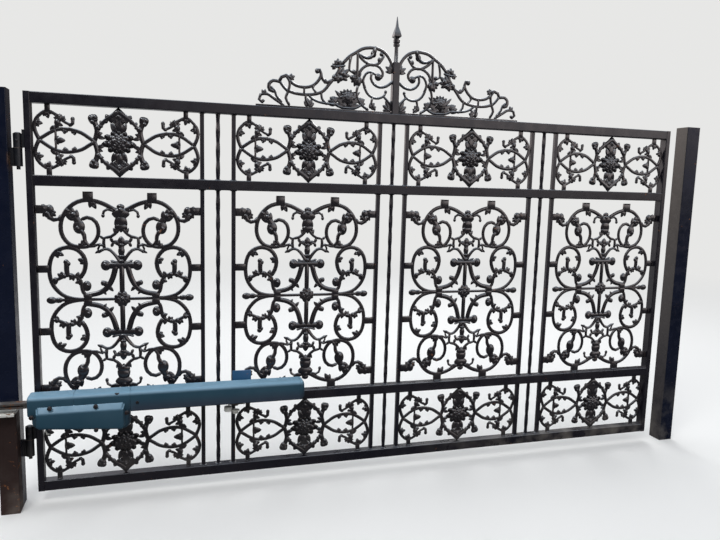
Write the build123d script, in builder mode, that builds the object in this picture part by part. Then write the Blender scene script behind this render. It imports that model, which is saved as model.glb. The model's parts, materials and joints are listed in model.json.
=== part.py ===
"""Wrought iron driveway gate: one swinging leaf with cast scroll panels, its two posts and its operator.

Millimetres, +Z up. X runs along the closed gate, from the hinge post to the latch post.
-Y is the side that the leaf opens to and that carries the operator.
The origin is the centre of the hinge post's foot, at ground level.
"""
import os
from math import asin, atan2, cos, degrees, hypot, radians, sin, sqrt

from build123d import *

os.makedirs("parts", exist_ok=True)

# Leaf frame, welded from rectangular tube with rounded corners
leaf_width = 3420
leaf_height = 1830
frame_depth = 50
rail_height = 48
stile_width = 28
tube_corner_radius = 4
ornament_row_height = 311
ground_clearance = 60

# Bars between the bays
bar_side = 19
bar_pair_spacing = 147
bar_pairs = 3
twisted_bar_side = 16
quarter_turn_length = 90
twist_step_angle = 30

# Posts
hinge_post_side = 80
latch_post_side = 90
hinge_post_rise = 8
latch_post_rise = 28
hinge_gap = 62
latch_gap = 100

# Barrel hinges
hinge_barrel_radius = 18
hinge_pin_radius = 8
hinge_leaf_half_height = 62
hinge_post_half_height = 80
hinge_running_gap = 1.5
hinge_lug_thickness = 12
lug_step_width = 13
lug_step_rise = 18
lug_foot_rise = 9
upper_hinge_height = 1506
lower_hinge_height = 171
pin_clearance = 0.3
pin_tail_length = 14

# Cast panels
casting_depth = 13
scroll_rib_width = 21
hook_rib_width = 18
heavy_rib_width = 27
light_rib_width = 14
cross_bar_width = 15
centre_bar_width = 24
rosette_radius = 36
bud_radius = 21
scroll_half_height = 497
collar_rib_width = 19
collar_frame_width = 22
leaf_rib_width = 11

# Crest with its short post and spear
crest_rib_width = 14
thin_crest_rib_width = 10
crest_post_side = 36
crest_post_height = 255
crest_strip_height = 10
crest_half_length = 690
crest_peak = 315
spear_rod_radius = 9
spear_collar_radius = 17
spear_collars = [(80, 13), (95, 20)]
spear_head = [(115, 24), (127, 46), (150, 32), (175, 14), (225, 4)]

# Swing operator
operator_post_depth = 60
operator_post_height = 474
post_plate_thickness = 10
post_plate_overhang = 35
pivot_offset_x = -45
operator_standoff = 110
operator_axis_height = 515
tube_width = 100
tube_height = 90
tube_wall = 5
tube_slot_width = 60
tube_edge_radius = 22
housing_start = 95
housing_length = 430
tube_end = 1338
end_cap_length = 22
end_cap_chamfer = 8
cover_start = 135
cover_length = 387
cover_front = 190
cover_back = 70
cover_bottom = 400
cover_front_top = 505
cover_corner_radius = 24
cover_edge_chamfer = 7
yoke_width = 40
yoke_thickness = 8
yoke_gap = 8
yoke_hole_clearance = 0.3
pivot_pin_radius = 8
pivot_boss_radius = 15
pivot_pin_end = 6
tail_block_length = 18
screw_radius = 10
screw_clearance = 0.3
nut_length = 70
nut_width = 46
nut_height = 44
shuttle_disc_radius = 42
shuttle_disc_thickness = 6
shuttle_pin_radius = 12
shuttle_pin_x = 1004
open_pivot_clearance = 2
disc_below_tube = 4
arm_below_tube = 28
gate_plate_width = 56
gate_plate_thickness = 10
gate_plate_top = 628
gate_arm_thickness = 10
gate_arm_width = 50

# Places worked out from the sizes above
leaf_left = hinge_post_side / 2 + hinge_gap
leaf_right = leaf_left + leaf_width
hinge_axis_x = hinge_post_side / 2 + hinge_gap / 2
leaf_bottom = ground_clearance
leaf_top = leaf_bottom + leaf_height
lower_rail_z = leaf_bottom + rail_height + ornament_row_height
upper_rail_z = leaf_top - 2 * rail_height - ornament_row_height
main_row_bottom = lower_rail_z + rail_height
clear_width = leaf_width - 2 * stile_width
bay_width = (clear_width - bar_pairs * (bar_pair_spacing + bar_side)) / (bar_pairs + 1)
bay_pitch = bay_width + bar_pair_spacing + bar_side
first_bay_x = leaf_left + stile_width + bay_width / 2
bay_centres = [first_bay_x + bay * bay_pitch for bay in range(bar_pairs + 1)]
pair_centres = [first_bay_x + (pair + 0.5) * bay_pitch for pair in range(bar_pairs)]
half_casting = casting_depth / 2


def save(piece, name):
    """Label the finished piece and write its file."""
    piece.part.label = name
    export_step(piece.part, f"parts/{name}.step")


def upright(x, y, width, depth, bottom, top, name):
    """An upright box tube with rounded corners, between two heights."""
    with BuildPart() as tube:
        with BuildSketch(Plane.XY.offset(bottom)):
            with Locations((x, y)):
                RectangleRounded(width, depth, tube_corner_radius)
        extrude(amount=top - bottom)
    save(tube, name)


# Posts
upright(0, 0, hinge_post_side, hinge_post_side, 0, leaf_top + hinge_post_rise, "hinge_post")
latch_post_x = leaf_right + latch_gap + latch_post_side / 2
upright(latch_post_x, 0, latch_post_side, latch_post_side, 0, leaf_top + latch_post_rise, "latch_post")

# Leaf frame: two stiles with four rails between them
stile_offset = stile_width / 2
upright(leaf_left + stile_offset, 0, stile_width, frame_depth, leaf_bottom, leaf_top, "hinge_stile")
upright(leaf_right - stile_offset, 0, stile_width, frame_depth, leaf_bottom, leaf_top, "latch_stile")
rail_heights = {
    "bottom_rail": leaf_bottom,
    "lower_mid_rail": lower_rail_z,
    "upper_mid_rail": upper_rail_z,
    "top_rail": leaf_top - rail_height,
}
for rail_name, rail_z in rail_heights.items():
    with BuildPart() as rail:
        with BuildSketch(Plane.YZ.offset(leaf_left + stile_width)):
            with Locations((0, rail_z + rail_height / 2)):
                RectangleRounded(frame_depth, rail_height, tube_corner_radius)
        extrude(amount=clear_width)
    save(rail, rail_name)

# Rows between the rails: bottom ornament row, main row, top ornament row
rows = [
    (leaf_bottom + rail_height, lower_rail_z),
    (main_row_bottom, upper_rail_z),
    (upper_rail_z + rail_height, leaf_top - rail_height),
]


def bar_stack(x, name):
    """One plain square bar, cut between the rails, in one node."""
    with BuildPart() as bar:
        for row_bottom, row_top in rows:
            with BuildSketch(Plane.XY.offset(row_bottom)):
                with Locations((x, 0)):
                    Rectangle(bar_side, bar_side)
            extrude(amount=row_top - row_bottom)
    save(bar, name)


def square_stack(x, sections):
    """A bar of square section in flat facets, through sections of height, side and turn in degrees."""
    squares = []
    for height, side, turn in sections:
        reach = side / sqrt(2)
        angles = [radians(45 + 90 * corner + turn) for corner in range(4)]
        squares.append([(x + reach * cos(angle), reach * sin(angle), height) for angle in angles])
    facets = [Face(Wire.make_polygon(squares[0])), Face(Wire.make_polygon(squares[-1]))]
    for low, high in zip(squares, squares[1:]):
        for corner in range(4):
            after = (corner + 1) % 4
            facets.append(Face(Wire.make_polygon([low[corner], low[after], high[corner]])))
            facets.append(Face(Wire.make_polygon([low[after], high[after], high[corner]])))
    return Solid(Shell(facets))


def twisted_stack(x, name):
    """One square bar twisted along its length, cut between the rails, in one node."""
    with BuildPart() as bar:
        for row_bottom, row_top in rows:
            steps = round((row_top - row_bottom) / quarter_turn_length * 90 / twist_step_angle)
            rise = (row_top - row_bottom) / steps
            turns = range(steps + 1)
            sections = [(row_bottom + step * rise, twisted_bar_side, step * twist_step_angle) for step in turns]
            add(square_stack(x, sections))
    save(bar, name)


for pair, pair_x in enumerate(pair_centres, start=1):
    bar_stack(pair_x - bar_pair_spacing / 2, f"plain_bar_{2 * pair - 1}")
    bar_stack(pair_x + bar_pair_spacing / 2, f"plain_bar_{2 * pair}")
    twisted_stack(pair_x, f"twisted_bar_{pair}")


# Flat ribbons of the castings
def ribbon(points, width):
    """A flat strip that follows points, with mitred corners and square ends."""
    left, right = [], []
    for index, (x, y) in enumerate(points):
        before = points[max(index - 1, 0)]
        after = points[min(index + 1, len(points) - 1)]
        first = atan2(y - before[1], x - before[0]) if index else None
        last = atan2(after[1] - y, after[0] - x) if index < len(points) - 1 else None
        first = last if first is None else first
        last = first if last is None else last
        turn = (last - first + radians(180)) % radians(360) - radians(180)
        normal = first + turn / 2 + radians(90)
        reach = width / 2 / cos(turn / 2)
        left.append((x + reach * cos(normal), y + reach * sin(normal)))
        right.append((x - reach * cos(normal), y - reach * sin(normal)))
    with BuildSketch() as strip:
        with BuildLine():
            Polyline(*left, *reversed(right), close=True)
        make_face()
    return strip.sketch


def arc_points(centre, radius, start, sweep, sides):
    """Points along an arc of a few-sided scroll, from a start angle through a sweep."""
    angles = [radians(start + sweep * side / sides) for side in range(sides + 1)]
    return [(centre[0] + radius * cos(angle), centre[1] + radius * sin(angle)) for angle in angles]


def disc(centre, radius, sides=6):
    """A bud or knob at the end of a scroll."""
    with BuildSketch() as bud:
        with Locations(centre):
            RegularPolygon(radius, sides)
    return bud.sketch


def block(left, bottom, right, top):
    """A square lug between two corners."""
    with BuildSketch() as lug:
        with Locations(((left + right) / 2, (bottom + top) / 2)):
            Rectangle(right - left, top - bottom)
    return lug.sketch


def outline(points):
    """A flat shape between corner points."""
    with BuildSketch() as shape:
        with BuildLine():
            Polyline(*points, close=True)
        make_face()
    return shape.sketch


# Large scroll panel, one quarter: right of and above the panel's centre
half_bay = bay_width / 2
upper_ring = (140, 352)
upper_ring_radius = 107
spiral_centre = (150, 318)
spiral_radius = 59
side_ring = (229, 168)
side_ring_radius = 72
side_sweep_radius = 104
inner_scroll = (140, 135)
inner_scroll_radius = 107
knob_height = 158
knob_bar_height = 25
cross_bar_end = 306
sweep_x = side_ring[0] + side_ring_radius
sweep_centre = (sweep_x - side_sweep_radius, side_sweep_radius)
upper_points = [(14, 424)] + arc_points(upper_ring, upper_ring_radius, 124, -206, 6)
spiral_points = arc_points(spiral_centre, spiral_radius, -112, -168, 4)
side_points = arc_points(side_ring, side_ring_radius, 232, -222, 5)
sweep_points = arc_points(sweep_centre, side_sweep_radius, -6, -84, 3)
scroll_pieces = [
    ribbon(upper_points + spiral_points, scroll_rib_width),
    ribbon([(206, 262), (202, 232)], hook_rib_width),
    ribbon([(174, 336), (196, 384), (230, 406)], heavy_rib_width),
    disc((176, 336), 31),
    ribbon(side_points + sweep_points + [(128, 0)], scroll_rib_width),
    ribbon(arc_points(inner_scroll, inner_scroll_radius, 170, 108, 3), heavy_rib_width),
    ribbon([(156, 10), (178, 84), (236, 114), (304, 106)], hook_rib_width),
    disc((148, 70), 25),
    ribbon([(238, 112), (234, 168)], hook_rib_width),
    disc((66, knob_height), 24),
    block(0, knob_height - knob_bar_height / 2, 66, knob_height + knob_bar_height / 2),
    block(0, 0, centre_bar_width / 2, knob_height),
    block(0, 0, cross_bar_end, cross_bar_width / 2),
    disc((cross_bar_end, 0), bud_radius),
    block(128, 0, 162, 34),
    block(sweep_x - 6, 127, half_bay, 162),
    block(118, upper_ring[1] + upper_ring_radius - 6, 162, scroll_half_height),
    block(292, 396, half_bay, 432),
    ribbon([(252, 362), (290, 352), (302, 404)], hook_rib_width),
    ribbon([(0, 340), (20, 314), (76, 284), (76, 240), (34, 220), (0, 160)], hook_rib_width),
    ribbon([(76, 256), (116, 272)], light_rib_width),
    outline([(0, 326), (34, 344), (20, 378), (36, 426), (0, 440)]),
]

with BuildSketch() as scroll_pattern:
    add(scroll_pieces)
    add(disc((0, 0), rosette_radius, 8))
    mirror(about=Plane.YZ)
    mirror(about=Plane.XZ)


def casting(pattern):
    """A flat casting, standing upright about the origin."""
    with BuildPart() as panel:
        with BuildSketch(Plane.XZ):
            add(pattern.sketch)
        extrude(amount=half_casting, both=True)
    return panel.part


def hang(panel, x, z, name):
    """A copy of a casting, hung in the middle of the leaf's depth."""
    with BuildPart() as hung:
        with Locations((x, 0, z)):
            add(panel)
    save(hung, name)


scroll_panel = casting(scroll_pattern)
for bay, bay_x in enumerate(bay_centres, start=1):
    hang(scroll_panel, bay_x, main_row_bottom + scroll_half_height, f"scroll_panel_{bay}")

# Collar panel, one quarter: right of and above the panel's centre
half_row = ornament_row_height / 2
eye_inner = 102
eye_outer = 334
eye_rise = 57
loop_radius = 48
loop_side_angle = 35
loop_reach = loop_radius + collar_rib_width / 2 / cos(radians(loop_side_angle / 2))
loop_centre = (half_bay - loop_reach, 78)
eye_half = (eye_outer - eye_inner) / 2
eye_radius = (eye_half**2 + eye_rise**2) / (2 * eye_rise)
eye_angle = degrees(asin(eye_half / eye_radius))
eye_centre = (eye_inner + eye_half, eye_rise - eye_radius)

collar_pieces = [
    ribbon([(101, 96), (90, 52), (eye_inner + 4, -4)], collar_frame_width),
    ribbon(arc_points(eye_centre, eye_radius, 90 + eye_angle, -2 * eye_angle, 4), collar_rib_width),
    disc((101, 94), 21),
    ribbon(arc_points(loop_centre, loop_radius, 140, -210, 6), collar_rib_width),
    ribbon([(eye_outer - 4, -4), (eye_outer + 2, 42)], collar_rib_width),
    ribbon([(270, 112), (206, 68), (196, 96)], leaf_rib_width),
    block(loop_centre[0] - 12, loop_centre[1] + loop_radius - 6, loop_centre[0] + 12, half_row),
    block(262, 0, 272, 54),
    outline([(0, 0), (106, 0), (76, 12), (66, 60), (96, 88), (54, 100), (0, 150)]),
    outline([(228, 0), (270, 18), (270, 0)]),
]
collar_window = outline([(28, 46), (54, 20), (50, 60), (14, 90)])

with BuildSketch() as collar_pattern:
    add(collar_pieces)
    add(collar_window, mode=Mode.SUBTRACT)
    mirror(about=Plane.YZ)
    mirror(about=Plane.XZ)

collar_panel = casting(collar_pattern)
for bay, bay_x in enumerate(bay_centres, start=1):
    hang(collar_panel, bay_x, leaf_bottom + rail_height + half_row, f"lower_collar_panel_{bay}")
    hang(collar_panel, bay_x, leaf_top - rail_height - half_row, f"upper_collar_panel_{bay}")

# Crest: two mirrored scroll castings beside a short post with a spear finial
crest_x = (leaf_left + leaf_right) / 2
crest_edge = crest_post_side / 2
arch = [(10, 200), (32, 257), (62, 285), (108, 305), (154, 305), (194, 290), (234, 260), (300, 214)]
lower_sweep = [(300, 222), (318, 160), (362, 112), (402, 87), (462, 67), (512, 64), (554, 74), (584, 100)]
outer_curl = [(584, 100), (592, 124), (572, 138), (549, 124), (522, 99), (482, 92), (442, 97), (402, 120)]
spiral = [(194, 170), (177, 210), (142, 227), (102, 225), (74, 206), (72, 178), (92, 166)]
hanging_scroll = [(190, 262), (162, 240), (122, 230), (88, 242), (72, 270), (76, 298)]
stem = [(207, 282), (202, 212), (195, 160), (203, 110), (205, 62), (168, 2)]
crest_pieces = [
    block(crest_edge, 0, crest_half_length, crest_strip_height),
    ribbon(arch, crest_rib_width),
    disc((300, 214), 20),
    ribbon(lower_sweep, crest_rib_width),
    ribbon(outer_curl, crest_rib_width),
    ribbon([(322, 158), (350, 132), (380, 130), (404, 152), (407, 176)], crest_rib_width),
    disc((407, 180), 15),
    ribbon([(402, 120), (394, 146)], thin_crest_rib_width),
    ribbon([(472, 66), (472, 94)], thin_crest_rib_width),
    ribbon([(588, 110), (624, 116), (640, 98), (644, 58), (620, 40)], crest_rib_width),
    ribbon([(688, 8), (682, 44), (652, 52), (612, 40), (574, 4)], crest_rib_width),
    ribbon([(560, 74), (568, 32), (544, 4)], crest_rib_width),
    ribbon([(474, 64), (462, 30), (424, 4)], crest_rib_width),
    ribbon([(430, 40), (380, 20), (330, 6)], thin_crest_rib_width),
    disc((252, 54), 46, 8),
    block(225, 4, 280, 24),
    ribbon([(286, 90), (318, 160)], thin_crest_rib_width),
    ribbon(stem, crest_rib_width),
    ribbon([(242, 254), (244, 206), (232, 176), (200, 160)], thin_crest_rib_width),
    ribbon([(176, 290), (152, 262), (122, 265), (110, 300)], thin_crest_rib_width),
    ribbon(hanging_scroll, crest_rib_width),
    ribbon(spiral, crest_rib_width),
    disc((98, 170), 18),
    ribbon([(122, 234), (122, 222)], crest_rib_width),
    ribbon([(194, 140), (167, 134), (165, 172), (150, 192), (122, 192), (108, 180)], thin_crest_rib_width),
    ribbon([(126, 190), (131, 157), (112, 132), (72, 132), (16, 168)], crest_rib_width),
    ribbon([(196, 120), (167, 82), (132, 67), (72, 67), (10, 90)], crest_rib_width),
    ribbon([(10, 66), (54, 2)], crest_rib_width),
    ribbon([(194, 52), (150, 52), (132, 67)], thin_crest_rib_width),
]

with BuildSketch() as crest_pattern:
    add(crest_pieces)
    add(block(crest_edge, 0, crest_half_length + 10, crest_peak + 10), mode=Mode.INTERSECT)

crest_right = casting(crest_pattern)
hang(crest_right, crest_x, leaf_top, "crest_right")
with BuildPart() as crest_left:
    add(crest_right)
    mirror(about=Plane.YZ, mode=Mode.REPLACE)
hang(crest_left.part, crest_x, leaf_top, "crest_left")
upright(
    crest_x, 0, crest_post_side, crest_post_side, leaf_top, leaf_top + crest_post_height, "crest_post"
)

spear_foot = leaf_top + crest_post_height
with BuildPart() as spear:
    with BuildSketch(Plane.XY.offset(spear_foot)):
        with Locations((crest_x, 0)):
            Circle(spear_rod_radius)
    extrude(amount=spear_head[0][0])
    for collar_rise, collar_height in spear_collars:
        with BuildSketch(Plane.XY.offset(spear_foot + collar_rise)):
            with Locations((crest_x, 0)):
                Circle(spear_collar_radius)
        extrude(amount=collar_height)
    add(square_stack(crest_x, [(spear_foot + rise, side, 0) for rise, side in spear_head]))
save(spear, "spear_finial")


# Barrel hinges: the lower barrel is fixed to the post with the pin, the upper one turns with the leaf
def hinge(base_height, name):
    """One barrel hinge, post half and leaf half, from the foot of its post barrel up."""
    base = leaf_bottom + base_height
    split = base + hinge_post_half_height
    leaf_start = split + hinge_running_gap
    leaf_end = split + hinge_leaf_half_height
    post_face = hinge_post_side / 2
    with BuildPart() as post_half:
        with BuildSketch(Plane.XY.offset(base)):
            with Locations((hinge_axis_x, 0)):
                Circle(hinge_barrel_radius)
            with Locations(((post_face + hinge_axis_x) / 2, 0)):
                Rectangle(hinge_axis_x - post_face, hinge_lug_thickness)
        extrude(amount=hinge_post_half_height)
        with BuildSketch(Plane.XY.offset(base - pin_tail_length)):
            with Locations((hinge_axis_x, 0)):
                Circle(hinge_pin_radius)
        extrude(amount=leaf_end - base + pin_tail_length)
    save(post_half, f"{name}_hinge_post_barrel")
    with BuildPart() as leaf_half:
        with BuildSketch(Plane.XY.offset(leaf_start)):
            with Locations((hinge_axis_x, 0)):
                Circle(hinge_barrel_radius)
            with Locations(((leaf_left + hinge_axis_x) / 2, 0)):
                Rectangle(leaf_left - hinge_axis_x, hinge_lug_thickness)
            with Locations((hinge_axis_x, 0)):
                Circle(hinge_pin_radius + pin_clearance, mode=Mode.SUBTRACT)
        extrude(amount=leaf_end - leaf_start)
        with BuildSketch(Plane.XY.offset(leaf_start + lug_foot_rise)):
            with Locations((leaf_left - lug_step_width / 2, 0)):
                Rectangle(lug_step_width, hinge_lug_thickness)
        extrude(amount=leaf_end + lug_step_rise - leaf_start - lug_foot_rise)
    save(leaf_half, f"{name}_hinge_leaf_barrel")


hinge(upper_hinge_height, "upper")
hinge(lower_hinge_height, "lower")

# Operator post, with its top plate and pivot pin
operator_y = -operator_standoff
post_front = -hinge_post_side / 2
upright(
    0,
    post_front - operator_post_depth / 2,
    hinge_post_side,
    operator_post_depth,
    0,
    operator_post_height,
    "operator_post",
)
plate_left = pivot_offset_x - post_plate_overhang
plate_right = hinge_post_side / 2
plate_front = operator_y - post_plate_overhang
yoke_bottom = operator_axis_height - yoke_gap / 2 - yoke_thickness
yoke_top = operator_axis_height + yoke_gap / 2 + yoke_thickness
plate_top = operator_post_height + post_plate_thickness
with BuildPart() as pivot_bracket:
    with BuildSketch(Plane.XY.offset(operator_post_height)):
        with Locations(((plate_left + plate_right) / 2, (plate_front + post_front) / 2)):
            Rectangle(plate_right - plate_left, post_front - plate_front)
    extrude(amount=post_plate_thickness)
    with BuildSketch(Plane.XY.offset(plate_top)):
        with Locations((pivot_offset_x, operator_y)):
            Circle(pivot_boss_radius)
    extrude(amount=yoke_bottom - yoke_hole_clearance - plate_top)
    with BuildSketch(Plane.XY.offset(plate_top)):
        with Locations((pivot_offset_x, operator_y)):
            Circle(pivot_pin_radius)
    extrude(amount=yoke_top + pivot_pin_end - plate_top)
save(pivot_bracket, "operator_pivot_bracket")

# Motor housing and drive tube share one arched section
housing_end = housing_start + housing_length
half_tube = tube_width / 2
tube_bottom = operator_axis_height - tube_height / 2


def across(x):
    """The plane across the operator's length at a distance from the hinge post."""
    return Plane(origin=(x, operator_y, operator_axis_height), x_dir=(0, 1, 0), z_dir=(1, 0, 0))


half_height = tube_height / 2
shoulder = half_height - tube_edge_radius
crown = half_tube - tube_edge_radius
with BuildSketch() as tube_section:
    with BuildLine():
        Polyline(
            (-half_tube, shoulder), (-half_tube, -half_height), (half_tube, -half_height), (half_tube, shoulder)
        )
        RadiusArc((half_tube, shoulder), (crown, half_height), -tube_edge_radius)
        Line((crown, half_height), (-crown, half_height))
        RadiusArc((-crown, half_height), (-half_tube, shoulder), -tube_edge_radius)
    make_face()

with BuildPart() as motor_housing:
    with BuildSketch(across(housing_start)):
        add(tube_section.sketch)
    extrude(amount=housing_length)
save(motor_housing, "motor_housing")

tube_length = tube_end - end_cap_length - housing_end
with BuildPart() as drive_tube:
    with BuildSketch(across(housing_end)):
        add(tube_section.sketch)
        offset(amount=-tube_wall, mode=Mode.SUBTRACT)
        with Locations((0, -half_height)):
            Rectangle(tube_slot_width, 4 * tube_wall, mode=Mode.SUBTRACT)
    extrude(amount=tube_length)
save(drive_tube, "drive_tube")

with BuildPart() as tube_end_cap:
    with BuildSketch(across(tube_end - end_cap_length)):
        add(tube_section.sketch)
    extrude(amount=end_cap_length)
    chamfer(tube_end_cap.faces().sort_by(Axis.X)[-1].edges(), length=end_cap_chamfer)
save(tube_end_cap, "tube_end_cap")

with BuildPart() as drive_screw:
    with BuildSketch(across(housing_end)):
        Circle(screw_radius)
    extrude(amount=tube_length)
save(drive_screw, "drive_screw")

# Control cover: a box with rounded corners, below and in front of the motor housing
cover_centre = (cover_start + cover_length / 2, -cover_front, (cover_bottom + cover_front_top) / 2)
tube_front = operator_y - half_tube
with BuildPart() as control_cover:
    with BuildSketch(Plane(origin=cover_centre, x_dir=(1, 0, 0), z_dir=(0, 1, 0))):
        RectangleRounded(cover_length, cover_front_top - cover_bottom, cover_corner_radius)
    extrude(amount=cover_front - cover_back)
    chamfer(control_cover.faces().sort_by(Axis.Y)[0].edges(), length=cover_edge_chamfer)
    with BuildSketch(Plane.XY.offset(tube_bottom)):
        with Locations((cover_start + cover_length / 2, (tube_front - cover_back) / 2)):
            Rectangle(cover_length, -cover_back - tube_front)
    extrude(amount=cover_front_top - tube_bottom, mode=Mode.SUBTRACT)
save(control_cover, "control_cover")

# Rear yoke: two flat bars on either side of the pivot's centre plane
with BuildPart() as rear_yoke:
    for bar_bottom in (yoke_bottom, operator_axis_height + yoke_gap / 2):
        with BuildSketch(Plane.XY.offset(bar_bottom)):
            with Locations(((pivot_offset_x + housing_start) / 2, operator_y)):
                Rectangle(housing_start - pivot_offset_x, yoke_width)
            with Locations((pivot_offset_x, operator_y)):
                Circle(yoke_width / 2)
                Circle(pivot_pin_radius + yoke_hole_clearance, mode=Mode.SUBTRACT)
        extrude(amount=yoke_thickness)
    with BuildSketch(Plane.XY.offset(yoke_bottom)):
        with Locations((housing_start - tail_block_length / 2, operator_y)):
            Rectangle(tail_block_length, yoke_width)
    extrude(amount=yoke_top - yoke_bottom)
save(rear_yoke, "rear_yoke")

# Drive nut: runs along the screw, and carries the shuttle disc and pin below the tube
arm_top = tube_bottom - arm_below_tube
with BuildPart() as drive_nut:
    with BuildSketch(across(shuttle_pin_x)):
        Rectangle(nut_width, nut_height)
    extrude(amount=nut_length / 2, both=True)
    with BuildSketch(Plane.XY.offset(operator_axis_height - nut_height / 2)):
        with Locations((shuttle_pin_x, operator_y)):
            Circle(shuttle_pin_radius)
    extrude(amount=-(operator_axis_height - nut_height / 2 - arm_top - open_pivot_clearance))
    with BuildSketch(Plane.XY.offset(tube_bottom - disc_below_tube)):
        with Locations((shuttle_pin_x, operator_y)):
            Circle(shuttle_disc_radius)
    extrude(amount=-shuttle_disc_thickness)
    with BuildSketch(across(shuttle_pin_x)):
        Circle(screw_radius + screw_clearance)
    extrude(amount=nut_length, both=True, mode=Mode.SUBTRACT)
save(drive_nut, "drive_nut")

# Gate bracket: a plate welded to the lower mid rail, with an arm under the shuttle pin
frame_front = -frame_depth / 2
plate_front_y = frame_front - gate_plate_thickness
plate_edge = shuttle_pin_x + gate_plate_width
half_arm = gate_arm_width / 2
with BuildPart() as gate_bracket:
    with BuildSketch(Plane.XY.offset(arm_top - gate_arm_thickness)):
        with Locations((shuttle_pin_x + gate_plate_width / 2, (plate_front_y + frame_front) / 2)):
            Rectangle(gate_plate_width, gate_plate_thickness)
    extrude(amount=gate_plate_top - arm_top + gate_arm_thickness)
    with BuildSketch(Plane.XY.offset(arm_top - gate_arm_thickness)):
        with BuildLine():
            Line((shuttle_pin_x + half_arm, operator_y), (plate_edge, frame_front))
            Line((plate_edge, frame_front), (shuttle_pin_x - half_arm, frame_front))
            Line((shuttle_pin_x - half_arm, frame_front), (shuttle_pin_x - half_arm, operator_y))
            ThreePointArc(
                (shuttle_pin_x - half_arm, operator_y),
                (shuttle_pin_x, operator_y - half_arm),
                (shuttle_pin_x + half_arm, operator_y),
            )
        make_face()
    extrude(amount=gate_arm_thickness)
save(gate_bracket, "gate_bracket")

# Stroke and swing of the operator, for the joints
pin_reach = shuttle_pin_x - hinge_axis_x
open_x = hinge_axis_x - operator_standoff - pivot_offset_x
open_y = -pin_reach + operator_standoff
print("operator swing", degrees(atan2(-open_y, open_x)))
print("shuttle stroke", shuttle_pin_x - pivot_offset_x - hypot(open_x, open_y))
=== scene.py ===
# %% [markdown]
# # A wrought iron driveway gate
# The gate is one swinging leaf of black painted tube, filled with iron castings, between two posts.
# A measured model of every working piece comes in first, as the skeleton that each new piece is fitted to.
# The dressed gate may not grow out of it.

# %% Load the measured gate
import json
import math
import bpy
from mathutils import Matrix, Vector


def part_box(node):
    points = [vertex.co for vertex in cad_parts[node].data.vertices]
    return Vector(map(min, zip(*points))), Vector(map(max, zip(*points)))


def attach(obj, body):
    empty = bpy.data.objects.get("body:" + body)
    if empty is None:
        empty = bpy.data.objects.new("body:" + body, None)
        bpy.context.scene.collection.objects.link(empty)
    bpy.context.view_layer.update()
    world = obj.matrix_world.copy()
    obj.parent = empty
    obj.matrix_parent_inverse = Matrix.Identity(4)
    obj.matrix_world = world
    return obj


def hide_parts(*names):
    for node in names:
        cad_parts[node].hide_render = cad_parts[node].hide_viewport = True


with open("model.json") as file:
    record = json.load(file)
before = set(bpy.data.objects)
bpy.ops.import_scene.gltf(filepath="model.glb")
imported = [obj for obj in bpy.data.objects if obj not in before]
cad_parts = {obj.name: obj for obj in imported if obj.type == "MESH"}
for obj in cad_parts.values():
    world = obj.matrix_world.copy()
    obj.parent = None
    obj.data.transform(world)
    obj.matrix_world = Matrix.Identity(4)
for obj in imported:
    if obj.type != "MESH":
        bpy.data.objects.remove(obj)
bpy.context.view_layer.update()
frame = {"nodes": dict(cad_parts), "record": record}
mm = 0.001

# %% [markdown]
# ## Camera
# The picture was taken at eye height, left of the leaf's middle, looking slightly down and to the right.
# The three directions below are the camera's own axes, worked out from the leaf's four corners.

# %% Camera
camera_place = Vector((0.7108, -3.1351, 1.5165))
camera_right = Vector((0.95841, -0.28416, 0.02745))
camera_up = Vector((0.01078, 0.13213, 0.99118))
camera_forward = Vector((0.28529, 0.94963, -0.12969))
bpy.ops.object.camera_add()
camera = bpy.context.object
camera.name = "camera"
turn = Matrix((camera_right, camera_up, -camera_forward)).transposed()
camera.matrix_world = Matrix.Translation(camera_place) @ turn.to_4x4()
camera.data.sensor_width = 36.0
camera.data.lens = 31.68
bpy.context.scene.camera = camera
print("camera at", tuple(round(v, 3) for v in camera.location))

# %% [markdown]
# ## Node tools
# A material is a small net of nodes, and the same few joints come back in every net. So each gets a tool:
# one reads a place, one rescales a value, one multiplies or adds, and two mix colours or whole shaders.

# %% Node tools
first_colour, second_colour, mixed_colour = 6, 7, 2


def new_material(name):
    """A node material with one shader, ready for its pattern."""
    material = bpy.data.materials.new(name)
    material.use_nodes = True
    return material, material.node_tree, material.node_tree.nodes["Principled BSDF"]


def position(tree, axis):
    """The place along one axis, in metres from the origin."""
    place = tree.nodes.new("ShaderNodeTexCoord")
    split = tree.nodes.new("ShaderNodeSeparateXYZ")
    tree.links.new(place.outputs["Object"], split.inputs["Vector"])
    return split.outputs[axis]


def between(tree, value, low, high, start=0.0, end=1.0):
    """The value rescaled, so that low gives start and high gives end, and held outside them."""
    node = tree.nodes.new("ShaderNodeMapRange")
    for name, number in (("From Min", low), ("From Max", high), ("To Min", start), ("To Max", end)):
        node.inputs[name].default_value = number
    tree.links.new(value, node.inputs["Value"])
    return node.outputs["Result"]


def combine(tree, operation, first, second, clamp=True):
    """Two values, multiplied or added, and held between 0 and 1 unless clamp is off."""
    node = tree.nodes.new("ShaderNodeMath")
    node.operation = operation
    node.use_clamp = clamp
    for socket, value in zip(node.inputs, (first, second)):
        if isinstance(value, float):
            socket.default_value = value
        else:
            tree.links.new(value, socket)
    return node.outputs["Value"]


def product(tree, first, *others):
    """All the values multiplied together."""
    for other in others:
        first = combine(tree, "MULTIPLY", first, other)
    return first


def tint(tree, factor, first, second):
    """The first colour where the factor is 0 and the second where it is 1."""
    node = tree.nodes.new("ShaderNodeMix")
    node.data_type = "RGBA"
    tree.links.new(factor, node.inputs["Factor"])
    for index, colour in ((first_colour, first), (second_colour, second)):
        if isinstance(colour, tuple):
            node.inputs[index].default_value = (*colour, 1)
        else:
            tree.links.new(colour, node.inputs[index])
    return node.outputs[mixed_colour]


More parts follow.
